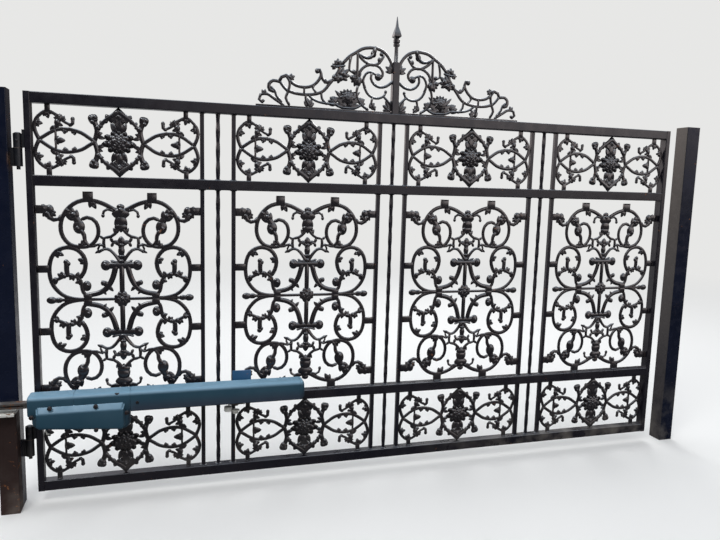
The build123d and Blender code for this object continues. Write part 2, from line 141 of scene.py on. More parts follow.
def blend(tree, factor, first, second):
    """The first shader where the factor is 0 and the second where it is 1."""
    node = tree.nodes.new("ShaderNodeMixShader")
    for socket, value in zip(node.inputs, (factor, first, second)):
        tree.links.new(value, socket)
    return node.outputs["Shader"]


print("node tools ready")

# %% [markdown]
# ## Floor, light and backdrop
# A pale floor and a pale world stand in for a photographer's paper sweep.
# Far from the gate the floor fades into the colour of the backdrop, so that no horizon cuts the picture.
# Gloss black paint mirrors what is around it, and a white room would turn it grey. So the sweep is pale only
# where the camera sees it directly. In mirrored rays the floor is dull, and palest behind the gate on the
# left. The sky is bright overhead. Two opposite quarters of its horizon are pale walls, which the latch end
# mirrors, and the other two are in shade.

# %% Studio
paper = (0.80, 0.80, 0.79)
pale_concrete = (0.86, 0.86, 0.845)
dull_front, dull_back = (0.105, 0.105, 0.11), (0.62, 0.61, 0.60)
light_low, light_high = (0.15, 0.15, 0.153), (0.87, 0.89, 0.925)
mirrored_low, mirrored_high = (1.0, 0.90, 0.88), (0.78, 0.88, 1.0)
ground_glow, horizon_glow, zenith_glow = 0.03, 2.2, 2.8
shaded_side = 0.05
fade_start, fade_end = 1.5, 11
gate_middle = 1.8
floor_size = 200
lamp_size = 3.0


def clear_selection():
    """Leave edit mode and drop every selection."""
    if bpy.context.object and bpy.context.object.mode != "OBJECT":
        bpy.ops.object.mode_set(mode="OBJECT")
    bpy.ops.object.select_all(action="DESELECT")


clear_selection()
bpy.ops.mesh.primitive_plane_add(size=floor_size, location=(gate_middle, 0, 0))
floor = bpy.context.object
floor.name = "floor"
material, tree, matt = new_material("pale_floor")
matt.inputs["Base Color"].default_value = (*pale_concrete, 1)
matt.inputs["Roughness"].default_value = 0.85
dull = tree.nodes.new("ShaderNodeBsdfDiffuse")
behind = between(tree, position(tree, "Y"), -0.5, 1.5)
leftward = between(tree, position(tree, "X"), 0.2, -1.2)
tree.links.new(tint(tree, product(tree, behind, leftward), dull_front, dull_back), dull.inputs["Color"])
far_paper = tree.nodes.new("ShaderNodeEmission")
far_paper.inputs["Color"].default_value = (*paper, 1)
place = tree.nodes.new("ShaderNodeTexCoord")
distance = tree.nodes.new("ShaderNodeVectorMath")
distance.operation = "LENGTH"
tree.links.new(place.outputs["Object"], distance.inputs[0])
seen = tree.nodes.new("ShaderNodeLightPath").outputs["Is Camera Ray"]
far = product(tree, between(tree, distance.outputs["Value"], fade_start, fade_end), seen)
sweep = blend(tree, far, matt.outputs["BSDF"], far_paper.outputs["Emission"])
whole = blend(tree, seen, dull.outputs["BSDF"], sweep)
tree.links.new(whole, tree.nodes["Material Output"].inputs["Surface"])
floor.data.materials.append(material)

world = bpy.data.worlds.new("studio")
world.use_nodes = True
bpy.context.scene.world = world
tree = world.node_tree
direction = tree.nodes.new("ShaderNodeTexCoord")
axes = tree.nodes.new("ShaderNodeSeparateXYZ")
tree.links.new(direction.outputs["Generated"], axes.inputs["Vector"])
up = axes.outputs["Z"]


def sky(name, low, high, factor):
    """A background that goes from a low colour to a high one with the factor."""
    background = tree.nodes.new("ShaderNodeBackground")
    background.name = name
    tree.links.new(tint(tree, factor, low, high), background.inputs["Color"])
    return background


backdrop = tree.nodes["Background"]
backdrop.inputs["Color"].default_value = (*paper, 1)
soft_light = sky("soft light", light_low, light_high, between(tree, up, 0.0, 0.8))
mirrored_sky = sky("mirrored sky", mirrored_low, mirrored_high, between(tree, up, 0.2, 0.6))
crossing = combine(tree, "MULTIPLY", axes.outputs["X"], axes.outputs["Y"], clamp=False)
quarter = between(tree, crossing, 0.05, -0.42, shaded_side)
horizon = between(tree, up, -0.02, 0.10, ground_glow, horizon_glow)
zenith = between(tree, up, 0.55, 0.85, 0.0, zenith_glow)
glow = combine(tree, "ADD", combine(tree, "MULTIPLY", horizon, quarter, clamp=False), zenith, clamp=False)
tree.links.new(glow, mirrored_sky.inputs["Strength"])
sight = tree.nodes.new("ShaderNodeLightPath")
room = blend(tree, sight.outputs["Is Glossy Ray"], soft_light.outputs["Background"],
             mirrored_sky.outputs["Background"])
whole = blend(tree, sight.outputs["Is Camera Ray"], room, backdrop.outputs["Background"])
tree.links.new(whole, tree.nodes["World Output"].inputs["Surface"])


def soft_lamp(name, place, power):
    """A large square lamp at place, pointed at the middle of the gate."""
    bpy.ops.object.light_add(type="AREA", location=place)
    lamp = bpy.context.object
    lamp.name = name
    aim = Vector((gate_middle, 0, 1.0))
    lamp.rotation_euler = (aim - Vector(place)).to_track_quat("-Z", "Y").to_euler()
    lamp.data.size = lamp_size
    lamp.data.energy = power


soft_lamp("key_lamp", (-1.5, -4.0, 6.5), 220)
soft_lamp("back_lamp", (4.5, 4.5, 5.0), 133)
bpy.context.scene.view_settings.view_transform = "Standard"
print("studio ready")

# %% [markdown]
# ## Hand tools
# Every ornament is made of four forms: a rib, a petal, a knob and a lug.
# A rib is a flattened round bar. Its end face is extruded along a path, turned at each step and scaled to
# taper. That keeps the section square to the path, as in a pattern maker's moulding strip.

# %% Paths and headings
rib_step = 16 * mm
rib_sides = 8


def smooth_path(points):
    """Close-set points on a smooth curve through the given ones."""
    fixed = [Vector((x * mm, 0, z * mm)) for x, z in points]
    padded = [2 * fixed[0] - fixed[1]] + fixed + [2 * fixed[-1] - fixed[-2]]
    path = []
    for a, b, c, d in zip(padded, padded[1:], padded[2:], padded[3:]):
        steps = max(1, round((c - b).length / rib_step)) if len(fixed) > 2 else 1
        for step in range(steps):
            t = step / steps
            bend = (2 * a - 5 * b + 4 * c - d) * t**2 + (3 * b - a - 3 * c + d) * t**3
            path.append(0.5 * (2 * b + (c - a) * t + bend))
    return path + [fixed[-1]]


def headings(path):
    """The direction of the path at each point, as an angle from +X towards +Z."""
    directions = []
    for index in range(len(path)):
        ahead = path[min(index + 1, len(path) - 1)] - path[max(index - 1, 0)]
        directions.append(math.atan2(ahead.z, ahead.x))
    return directions


def settle(piece):
    """Write a piece's place, turn and size into its mesh."""
    clear_selection()
    piece.select_set(True)
    bpy.context.view_layer.objects.active = piece
    bpy.ops.object.transform_apply(location=True, rotation=True, scale=True)


def open_all():
    """Open the active mesh for editing, with all of it selected."""
    bpy.ops.object.mode_set(mode="EDIT")
    bpy.ops.mesh.select_all(action="SELECT")


def open_some(piece, rule, kind="VERT"):
    """Open a mesh for editing, with only the corners or faces selected that keep the rule."""
    bpy.ops.object.mode_set(mode="EDIT")
    bpy.ops.mesh.select_mode(type=kind)
    bpy.ops.mesh.select_all(action="DESELECT")
    bpy.ops.object.mode_set(mode="OBJECT")
    for part in piece.data.polygons if kind == "FACE" else piece.data.vertices:
        part.select = rule(part)
    bpy.ops.object.mode_set(mode="EDIT")


print("steps of", rib_step, "m along a path")

# %% [markdown]
# The first and the last step of a rib start from a small end face, which leaves a blunt round nose. In
# between it may taper, as a scroll does towards its tip.

# %% Ribs
cast_depth = 13
nose_share = 0.45


def rib(points, width, end_width=None, depth=cast_depth):
    """A rounded rib along points, from width to end_width, with blunt round ends."""
    path = smooth_path(points)
    angles = headings(path)
    end_width = end_width or width
    nose = nose_share * width * mm
    start = Vector((math.cos(angles[0]), 0, math.sin(angles[0])))
    finish = Vector((math.cos(angles[-1]), 0, math.sin(angles[-1])))
    path = [path[0] - nose * start] + path + [path[-1] + nose * finish * end_width / width]
    angles = [angles[0]] + angles + [angles[-1]]
    last = len(path) - 2
    taper = end_width / width
    sizes = [1 + (taper - 1) * index / max(last - 1, 1) for index in range(last)]
    sizes = [nose_share] + sizes + [nose_share * taper]
    clear_selection()
    bpy.ops.mesh.primitive_circle_add(vertices=rib_sides, radius=1, fill_type="NGON")
    piece = bpy.context.object
    piece.scale = (0.5 * width * mm * sizes[0], 0.5 * depth * mm * sizes[0], 1)
    piece.rotation_euler = (0, math.pi / 2 - angles[0], 0)
    piece.location = path[0]
    settle(piece)
    open_all()
    for index in range(1, len(path)):
        bpy.ops.mesh.extrude_region_move(TRANSFORM_OT_translate={"value": path[index] - path[index - 1]})
        turned = (angles[index] - angles[index - 1] + math.pi) % (2 * math.pi) - math.pi
        if abs(turned) > 0.001:
            bpy.ops.transform.rotate(value=turned, orient_axis="Y", center_override=path[index])
        growth = sizes[index] / sizes[index - 1]
        if abs(growth - 1) > 0.001:
            bpy.ops.transform.resize(value=(growth,) * 3, center_override=path[index])
    bpy.ops.mesh.select_all(action="SELECT")
    bpy.ops.mesh.normals_make_consistent(inside=False)
    bpy.ops.object.mode_set(mode="OBJECT")
    return piece


print("a rib has", rib_sides, "sides")

# %% [markdown]
# A petal is a ball drawn out to a teardrop with a taper, with a groove down its middle as its vein.
# A knob is a slightly slimmed ball, and a lug is a block with its edges bevelled.
# The petal and the knob are modelled once, and every leaf, bud and rosette is a copy of one of them.

# %% Petal, knob and lug
vein, knob_girth = 0.72, 0.9
lug_bevel = 2


def model_petal():
    """A grooved teardrop, 1 long from z 0 to z 1, 1 wide and 1 deep."""
    clear_selection()
    bpy.ops.mesh.primitive_uv_sphere_add(segments=10, ring_count=7, radius=0.5, location=(0, 0, 0))
    petal = bpy.context.object
    taper = petal.modifiers.new("draw out", "SIMPLE_DEFORM")
    taper.deform_method = "TAPER"
    taper.deform_axis = "Z"
    taper.factor = -0.75
    bpy.ops.object.modifier_apply(modifier=taper.name)
    open_some(petal, lambda corner: abs(corner.co.x) < 0.02 and abs(corner.co.z) < 0.45)
    bpy.ops.transform.resize(value=(1, vein, 1), center_override=(0, 0, 0))
    bpy.ops.object.mode_set(mode="OBJECT")
    petal.location = (0, 0, 0.5)
    settle(petal)
    return petal


def model_knob():
    """A ball 1 high and a little slimmer than that."""
    clear_selection()
    bpy.ops.mesh.primitive_uv_sphere_add(segments=12, ring_count=8, radius=0.5, location=(0, 0, 0))
    knob = bpy.context.object
    open_all()
    bpy.ops.transform.resize(value=(knob_girth, knob_girth, 1), center_override=(0, 0, 0))
    bpy.ops.object.mode_set(mode="OBJECT")
    return knob


petal_master = model_petal()
knob_master = model_knob()


def copy_of(master):
    """A copy with a mesh of its own."""
    piece = master.copy()
    piece.data = master.data.copy()
    bpy.context.collection.objects.link(piece)
    return piece


def petal(x, z, angle, length, width, depth=cast_depth, lift=0):
    """A leaf whose foot is at x, z and whose tip points along angle, in degrees from +X towards +Z."""
    piece = copy_of(petal_master)
    piece.scale = (width * mm, depth * mm, length * mm)
    piece.rotation_euler = (0, math.pi / 2 - math.radians(angle), 0)
    piece.location = (x * mm, lift * mm, z * mm)
    return piece


def knob(x, z, width, height, depth, lift=0):
    """A ball or bud."""
    piece = copy_of(knob_master)
    piece.scale = (width * mm, depth * mm, height * mm)
    piece.location = (x * mm, lift * mm, z * mm)
    return piece


def lug(left, bottom, right, top, depth=cast_depth):
    """A block between two corners, with its edges bevelled."""
    clear_selection()
    bpy.ops.mesh.primitive_cube_add(size=1)
    piece = bpy.context.object
    piece.scale = ((right - left) * mm, depth * mm, (top - bottom) * mm)
    piece.location = ((left + right) / 2 * mm, 0, (bottom + top) / 2 * mm)
    settle(piece)
    open_all()
    bpy.ops.mesh.bevel(offset=lug_bevel * mm, segments=2, affect="EDGES")
    bpy.ops.object.mode_set(mode="OBJECT")
    return piece


def joined(parts, name):
    """One mesh from many parts, at the origin."""
    clear_selection()
    bpy.ops.mesh.primitive_circle_add(vertices=3, radius=0.001, fill_type="NOTHING")
    whole = bpy.context.object
    open_all()
    bpy.ops.mesh.delete(type="VERT")
    bpy.ops.object.mode_set(mode="OBJECT")
    for part in parts:
        part.select_set(True)
    bpy.ops.object.join()
    whole.name = name
    return whole


def reflected(parts, across_x, across_z):
    """The parts and their mirror images, as one mesh."""
    whole = joined(parts, "quarter")
    mirror = whole.modifiers.new("reflect", "MIRROR")
    mirror.use_axis = (across_x, False, across_z)
    mirror.use_mirror_merge = False
    bpy.ops.object.modifier_apply(modifier=mirror.name)
    return whole


print("petal and knob modelled")

# %% [markdown]
# ## The large scroll casting
# Each tall bay holds one iron casting of scrolls, mirrored left to right and top to bottom.
# So a pattern maker carves one quarter, and this script models one quarter too.
# Each form is one row of a table, with its place and sizes in the order in which its tool takes them.
# Places are in millimetres from the middle of the casting.

# %% Scrolls of the large casting
def each(tool, rows):
    """The parts that a tool makes from the rows of a table."""
    parts = []
    for row in rows:
        made = tool(*row)
        parts += made if isinstance(made, list) else [made]
    return parts


scroll_quarter = each(rib, [
    ([(24, 416), (52, 433), (84, 448), (117, 457), (147, 460), (185, 451), (217, 429), (242, 397),
      (256, 361), (258, 322), (249, 290), (230, 264), (203, 249), (165, 245), (134, 253), (112, 275),
      (100, 303), (99, 332), (108, 359), (124, 375), (146, 381), (164, 374)], 21, 18),
    ([(140, 250), (157, 272), (160, 298), (172, 320)], 15, 22),
    ([(180, 106), (165, 131), (157, 168), (166, 204), (190, 231), (220, 242), (250, 241), (280, 226),
      (301, 197), (311, 152), (309, 104), (297, 68), (275, 38), (246, 16), (206, 4), (160, 0)], 21, 18),
    ([(27, 152), (31, 134), (41, 99), (54, 72), (71, 49), (98, 32), (128, 24), (160, 19)], 26, 24),
    ([(154, 16), (170, 34), (176, 60), (180, 86), (192, 103), (214, 113), (238, 116), (260, 106), (282, 95),
      (302, 90)], 18, 17),
    ([(236, 116), (239, 140), (238, 170)], 22, 24),
    ([(3, 340), (18, 316), (44, 294), (75, 286), (77, 264), (75, 243)], 16, 15),
    ([(98, 222), (74, 236), (48, 230), (24, 203), (6, 174)], 14, 18),
    ([(160, 248), (118, 249), (94, 260), (102, 236)], 15, 10),
    ([(75, 252), (98, 256)], 14, 12),
    ([(178, 350), (194, 378), (212, 400), (232, 410)], 36, 24),
    ([(256, 386), (266, 372), (286, 368), (304, 378), (312, 400)], 16, 24),
    ([(122, 495), (158, 495)], 8, 8, 18),
    ([(359, 401), (359, 429)], 8, 8, 18),
    ([(359, 133), (359, 157)], 8, 8, 18),
    ([(6, 260), (22, 269), (36, 264), (41, 252)], 15, 15),
    ([(34, 414), (58, 419), (73, 410), (78, 392)], 15, 12),
])
scroll_quarter += each(lug, [
    (118, 450, 162, 499), (312, 396, 363, 434), (312, 128, 363, 162), (134, 0, 168, 24, 17),
])
print("scrolls and lugs", len(scroll_quarter))

# %% [markdown]
# Leaves hide every place where two ribs meet, because a bare joint in a casting looks weak.
# They are set in fans, the longest in the middle. A cusp is one ruffled leaf that grows out of a scroll.

# %% Leaves and buds of the large casting
def fan(x, z, angle, length, width, spread, leaves):
    """A fan of petals from one foot, shorter towards its sides."""
    blades = []
    for index in range(leaves):
        side = index - (leaves - 1) / 2
        reach = length * (1 - 0.14 * abs(side))
        blades.append(petal(x, z, angle + spread * side, reach, width))
    return blades


def cusp(x, z, angle, length, width):
    """A ruffled leaf: a long petal, a shorter one on each side, and a small knob where its tip curls."""
    way = math.radians(angle)
    curl = way + 0.9
    tip_x = x + 0.85 * length * math.cos(way) + 0.2 * width * math.cos(curl)
    tip_z = z + 0.85 * length * math.sin(way) + 0.2 * width * math.sin(curl)
    return [
        petal(x, z, angle, 1.45 * length, 1.15 * width, 14),
        petal(x, z, angle + 40, 1.15 * length, 1.0 * width, 13),
        petal(x, z, angle - 44, 1.1 * length, 0.95 * width, 13),
        knob(tip_x, tip_z, 0.55 * width, 0.55 * width, 14),
    ]


scroll_quarter += each(knob, [
    (154, 64, 44, 50, 20), (150, 66, 26, 26, 26), (181, 338, 58, 66, 19), (187, 330, 30, 34, 25),
    (70, 159, 50, 50, 20), (74, 161, 30, 30, 25), (204, 392, 34, 30, 21), (228, 410, 26, 28, 18),
    (302, 414, 42, 46, 20), (328, 418, 34, 42, 18), (312, 396, 28, 26, 22), (222, 114, 30, 24, 19),
    (250, 112, 26, 26, 18), (288, 94, 24, 26, 17), (240, 176, 28, 26, 18), (230, 168, 20, 22, 17),
    (83, 76, 26, 26, 17), (77, 390, 18, 20, 15),
])
scroll_quarter += each(fan, [
    (196, 374, 60, 50, 30, 40, 3), (210, 396, 38, 38, 26, 50, 3), (196, 106, 130, 28, 20, 45, 2),
    (214, 112, 285, 26, 18, 45, 2), (258, 108, 60, 28, 20, 45, 2), (284, 96, 300, 26, 18, 45, 2),
    (300, 402, 215, 30, 22, 38, 3), (318, 400, 285, 24, 18, 40, 2), (164, 250, 75, 30, 18, 50, 3),
])
scroll_quarter += each(cusp, [
    (284, 224, 208, 28, 22), (158, 178, 20, 24, 22), (126, 458, 242, 30, 22), (178, 88, 340, 20, 18),
])
scroll_quarter += each(petal, [
    (60, 62, 40, 40, 26), (66, 52, 75, 30, 18), (60, 60, 228, 32, 18), (84, 40, 235, 24, 14),
    (20, 308, 62, 30, 17), (46, 288, 250, 26, 16), (92, 230, 330, 28, 15), (78, 284, 40, 22, 14),
    (5, 258, 30, 34, 24, 15),
])
print("parts in the quarter", len(scroll_quarter))

# %% [markdown]
# Some forms stand on the middle lines: the bar with its rosette, the leaf at the top, the lily below it
# and the long cross bar with a bud at each end. They are reflected once only, or not at all.

# %% Middle of the large casting
def casting(name, quarter, above, sides, middle):
    """One casting: its quarter reflected both ways, its middle lines once, and what is at its middle not."""
    halves = [reflected(quarter, True, True), reflected(above, False, True), reflected(sides, True, False)]
    whole = joined(halves + middle, name)
    print(name, len(whole.data.polygons), "faces", tuple(round(v, 3) for v in whole.dimensions))
    return whole


scroll_above = each(rib, [
    ([(0, 20), (0, 158)], 23),
    ([(-66, 158.5), (-20, 158.5), (20, 158.5), (66, 158.5)], 31),
    ([(-44, 180), (-20, 173), (20, 173), (44, 180)], 12),
    ([(0, 186), (0, 262)], 24, 26),
])
scroll_above += each(knob, [
    (0, 178, 46, 24, 20), (0, 226, 34, 46, 20), (0, 202, 40, 16, 19), (0, 254, 38, 22, 19),
    (0, 366, 60, 56, 20), (0, 402, 84, 50, 21), (0, 338, 64, 36, 18), (0, 414, 36, 36, 25),
    (0, 432, 40, 26, 18),
])
scroll_above += each(petal, [
    (0, 256, 90, 40, 34, 17),
])
scroll_above += each(fan, [
    (0, 388, 90, 58, 32, 36, 5), (0, 384, 270, 56, 32, 34, 3), (0, 346, 270, 34, 24, 56, 3),
])
scroll_sides = [knob(306, 0, 50, 34, 19), petal(258, 0, 0, 50, 26, 16)]
scroll_centre = [rib([(-300, 0), (-200, 0), (200, 0), (300, 0)], 15)]
scroll_centre += each(knob, [(0, 0, 14, 14, 29), (0, 0, 34, 34, 26), (0, 0, 70, 70, 17)])
rosette_petals = 8
for index in range(rosette_petals):
    scroll_centre.append(petal(0, 0, 360 / rosette_petals * (index + 0.5), 39, 34, 21))
scroll_casting = casting("scroll_casting", scroll_quarter, scroll_above, scroll_sides, scroll_centre)

# %% [markdown]
# ## The collar casting
# The low bays above and below hold a wide casting: a dense flower in a pointed frame, with a pointed oval on
# each side. It is mirrored both ways too, so again only a quarter is made.

# %% Ribs of the collar casting
collar_quarter = each(rib, [
    ([(104, 0), (132, 19), (160, 37), (198, 48), (240, 50), (276, 40), (308, 20), (336, 0)], 18, 17),
    ([(109, 98), (98, 74), (93, 50), (98, 24), (106, 0)], 25, 20),
    ([(334, 2), (346, 28), (352, 56), (344, 88), (322, 114), (297, 126), (268, 114), (248, 96), (226, 80),
      (202, 69)], 18, 13),
    ([(205, 68), (195, 76), (194, 94)], 17, 17),
    ([(246, 104), (256, 78), (264, 50)], 24, 20),
    ([(268, 48), (266, 24), (268, 0)], 11, 10),
    ([(88, 54), (79, 72), (64, 90), (45, 106), (22, 121), (0, 140)], 16, 27),
    ([(290, 156), (304, 156)], 8, 8, 18),
])
collar_quarter += each(lug, [
    (286, 120, 308, 160),
])
collar_quarter += each(cusp, [
    (350, 76, 190, 24, 20), (302, 126, 255, 24, 20), (190, 47, 262, 16, 18), (226, 50, 282, 16, 18),
    (250, 92, 60, 22, 18), (238, 88, 120, 16, 14),
])
collar_quarter += each(knob, [
    (109, 100, 46, 44, 19), (102, 108, 30, 28, 22), (120, 104, 26, 30, 21), (112, 88, 26, 24, 24),
    (90, 62, 32, 30, 18), (258, 78, 30, 34, 19), (194, 96, 21, 20, 15), (56, 94, 25, 23, 17),
    (32, 112, 26, 24, 17), (78, 70, 22, 20, 17),
])
collar_quarter += each(petal, [
    (262, 74, 200, 30, 20), (256, 92, 150, 28, 19), (264, 60, 330, 30, 20), (94, 34, 165, 26, 18),
    (96, 66, 175, 30, 18), (66, 78, 48, 22, 22), (42, 104, 56, 24, 24), (92, 24, 195, 34, 20),
    (4, 106, 172, 44, 24, 16), (40, 90, 138, 44, 22, 15), (10, 44, 62, 50, 28, 15), (8, 84, 52, 36, 22, 15),
    (0, 74, 50, 44, 18, 14),
])
print("collar parts in the quarter", len(collar_quarter))

# %% [markdown]
# The flower is the casting's showpiece. Three rings of petals lie over one another, each ring smaller and
# further forward, on the front and on the back, because the gate is seen from both sides.

# %% Flower of the collar casting
lobe_place = 0.78


def flower(x, z, rings, flatness, lobe_size=0.0):
    """Rings of petals on the front and the back, each ring a row of petals, reach, width, lift and depth."""
    parts = []
    for side in (-1, 1):
        for petals, reach, width, lift, depth in rings:
            for index in range(petals):
                angle = 360 / petals * (index + 0.5 * (lift > 0)) + 90
                across, up = math.cos(math.radians(angle)), math.sin(math.radians(angle))
                length = reach * (1 - (1 - flatness) * abs(up))
                parts.append(petal(x, z, angle, length, width, depth, side * lift))
                if lobe_size:
                    lobe, size = lobe_place * length, lobe_size * width
                    parts.append(knob(x + lobe * across, z + lobe * up, size, size, depth, side * lift))
    return parts


collar_rings = [(11, 82, 44, 0, 15), (9, 58, 38, 5, 13), (7, 37, 29, 9, 11)]
collar_flower = each(knob, [(0, 0, 122, 84, 14), (0, 0, 18, 18, 14, -12), (0, 0, 18, 18, 14, 12)])
collar_flower += flower(0, 0, collar_rings, 0.66, 0.62)
collar_above = [rib([(0, 136), (0, 150)], 24, 15)]
collar_above += each(knob, [
    (0, 138, 40, 22, 19), (0, 112, 50, 34, 18), (0, 116, 22, 24, 23),
])
collar_above += each(petal, [
    (0, 116, 90, 30, 24, 17), (0, 46, 90, 76, 32, 17),
])
collar_sides = each(petal, [(268, 0, 180, 42, 30, 13), (268, 0, 235, 24, 16, 12), (268, 0, 125, 24, 16, 12)])
collar_casting = casting("collar_casting", collar_quarter, collar_above, collar_sides, collar_flower)

# %% [markdown]
# ## The crest
# Two mirrored castings lean on a short post above the top rail. They climb from a small curl to a tall arch,
# and a leafy flower fills the low middle. Places were read on the left half, along the leaf and above the
# ground, so the crest's tools turn them over and measure from the post's middle and the rail's top instead.

# %% Ribs of the crest casting
crest_span = 1710
crest_base = 1830
crest_weight = 1.12


def crest_rib(points, width, end_width=None):
    """A rib of the crest."""
    places = [(crest_span - x, z - crest_base) for x, z in points]
    return rib(places, crest_weight * width, crest_weight * (end_width or width))


crest_parts = [lug(18, 0, 706, 10)]
crest_parts += each(crest_rib, [
    ([(1036, 1850), (1021, 1862), (1028, 1884), (1060, 1889), (1096, 1868), (1138, 1842)], 14, 13),
    ([(1090, 1904), (1071, 1910), (1068, 1936), (1088, 1954), (1122, 1950)], 17, 14),
    ([(1080, 1922), (1096, 1908), (1104, 1884), (1128, 1856)], 11, 12),
    ([(1118, 1952), (1128, 1973), (1150, 1982), (1172, 1974)], 15, 17),
    ([(1121, 1950), (1140, 1926), (1160, 1908)], 13),
    ([(1154, 1976), (1168, 1954), (1166, 1926), (1158, 1900), (1150, 1876), (1166, 1846)], 12, 13),
    ([(1168, 1957), (1200, 1938), (1248, 1933), (1288, 1947), (1314, 1975), (1324, 2000), (1317, 2021),
      (1300, 2019)], 14, 15),
    ([(1158, 1912), (1190, 1902), (1245, 1898), (1300, 1905), (1338, 1923), (1362, 1952), (1392, 1990)],
      14, 15),
    ([(1324, 1998), (1334, 1974), (1352, 1963), (1376, 1974)], 14, 15),
    ([(1240, 1933), (1240, 1898)], 10),
    ([(1290, 1948), (1283, 1930), (1302, 1910)], 10),
    ([(1326, 1916), (1330, 1884), (1352, 1860)], 11, 12),
    ([(1262, 1898), (1282, 1880), (1322, 1866), (1392, 1860)], 11, 13),
    ([(1248, 1898), (1250, 1872), (1268, 1846)], 11, 13),
    ([(1388, 2042), (1414, 2044), (1440, 2050)], 13, 12),
    ([(1392, 1992), (1412, 2022), (1420, 2044), (1410, 2062)], 16, 13),
    ([(1428, 2056), (1465, 2096), (1500, 2119), (1530, 2138), (1562, 2146), (1602, 2147), (1640, 2135),
      (1670, 2108), (1688, 2075), (1697, 2040)], 16, 15),
    ([(1508, 2116), (1508, 2060), (1508, 2000), (1514, 1960)], 12, 14),
    ([(1474, 2096), (1467, 2060), (1468, 2030), (1486, 2020)], 12, 11),
    ([(1512, 2112), (1532, 2088), (1562, 2070), (1592, 2064), (1622, 2078), (1643, 2110)], 14, 13),
    ([(1522, 2108), (1550, 2097), (1575, 2101), (1592, 2120), (1597, 2144)], 11, 22),
    ([(1512, 2006), (1530, 2040), (1556, 2060), (1592, 2067), (1625, 2056), (1642, 2030), (1634, 2006),
      (1614, 2002)], 14, 13),
    ([(1550, 1950), (1539, 1985), (1552, 2018), (1576, 2030), (1606, 2018)], 13, 11),
    ([(1584, 2026), (1580, 1998), (1596, 1972), (1626, 1959), (1662, 1966), (1696, 1992)], 12, 14),
    ([(1514, 1962), (1506, 1925), (1516, 1890), (1540, 1862), (1566, 1846)], 12, 13),
    ([(1546, 1956), (1562, 1926), (1590, 1906), (1624, 1904), (1652, 1918), (1660, 1934)], 13, 11),
    ([(1592, 1906), (1586, 1878), (1604, 1848)], 11, 13),
    ([(1650, 1914), (1674, 1890), (1692, 1862)], 11, 14),
    ([(1400, 1860), (1430, 1848), (1500, 1848), (1530, 1866)], 13, 12),
])
print("crest ribs", len(crest_parts))

# %% [markdown]
# Fans and buds sit where the crest's ribs branch. Its flower is smaller than the collar's, and long leaves
# spread from below it.

# %% Leaves, buds and flower of the crest casting
def crest_fan(x, z, angle, length, width, spread, leaves):
    """A fan of petals on the crest, turned over with its place."""
    return fan(crest_span - x, z - crest_base, 180 - angle, length, width, spread, leaves)


def crest_knob(x, z, width, height, depth):
    """A bud on the crest."""
    return knob(crest_span - x, z - crest_base, width, height, depth)


crest_parts += each(crest_fan, [
    (1046, 1888, 100, 26, 17, 45, 2), (1172, 1974, 20, 24, 18, 50, 3), (1396, 2042, 178, 26, 18, 40, 3),
    (1408, 2050, 92, 34, 20, 38, 3), (1424, 2000, 40, 56, 26, 36, 5), (1420, 1996, 215, 42, 24, 36, 3),
    (1510, 2000, 250, 50, 26, 30, 5), (1510, 2000, 95, 34, 20, 45, 3), (1694, 2040, 150, 46, 22, 34, 3),
    (1690, 1846, 120, 60, 28, 30, 5), (1262, 1842, 80, 44, 24, 32, 4), (1400, 1866, 150, 46, 26, 30, 4),
    (1520, 1870, 40, 40, 24, 36, 3), (1352, 1960, 130, 24, 16, 45, 2), (1584, 1850, 60, 36, 20, 36, 3),
])
crest_parts += each(crest_knob, [
    (1304, 2014, 27, 25, 18), (1410, 2064, 24, 24, 18), (1388, 2042, 18, 18, 16), (1391, 1990, 30, 30, 19),
    (1438, 2008, 34, 34, 20), (1424, 1988, 30, 30, 20), (1490, 2024, 24, 24, 18), (1484, 1996, 34, 26, 18),
    (1590, 2118, 34, 36, 19), (1632, 2120, 24, 22, 17), (1622, 2092, 24, 26, 17), (1618, 2008, 42, 38, 20),
    (1618, 2008, 22, 20, 25), (1514, 1978, 34, 50, 20), (1040, 1856, 20, 16, 16), (1660, 1938, 18, 18, 16),
])
bloom_x, bloom_z = 250, 66
crest_parts += flower(bloom_x, bloom_z, [(14, 62, 24, 0, 14), (10, 42, 22, 5, 12), (7, 24, 18, 9, 9)], 0.72)
crest_parts += each(knob, [(bloom_x, bloom_z, 64, 50, 14), (bloom_x, bloom_z, 18, 18, 30)])
for angle, lower_angle in ((18, 4), (42, 28), (138, 152), (162, 176)):
    crest_parts.append(petal(bloom_x, bloom_z - 26, angle, 88, 24, 14))
    crest_parts.append(petal(bloom_x, bloom_z - 40, lower_angle, 80, 22, 13))
crest_casting = joined(crest_parts, "crest_casting")
print("crest casting", len(crest_casting.data.polygons), "faces")

# %% [markdown]
# ## Finishes
# Real paint is never one colour. Each finish here is a base tone clouded with a second one, a fine grain that
# catches the light, worn edges, rust where water sits and pale dust low down.
# All patterns are measured in metres on the gate itself, so they keep their scale on every piece.

# %% Pattern tools
def noise(tree, scale, detail):
    """A cloudy pattern with about scale clouds to the metre."""
    place = tree.nodes.new("ShaderNodeTexCoord")
    texture = tree.nodes.new("ShaderNodeTexNoise")
    texture.inputs["Scale"].default_value = scale
    texture.inputs["Detail"].default_value = detail
    tree.links.new(place.outputs["Object"], texture.inputs["Vector"])
    return texture.outputs["Fac"]


def leaning(tree, axis, low, high):
    """A mask of the surfaces whose outward direction leans along an axis, from low to high."""
    surface = tree.nodes.new("ShaderNodeNewGeometry")
    split = tree.nodes.new("ShaderNodeSeparateXYZ")
    tree.links.new(surface.outputs["Normal"], split.inputs["Vector"])
    return between(tree, split.outputs[axis], low, high)


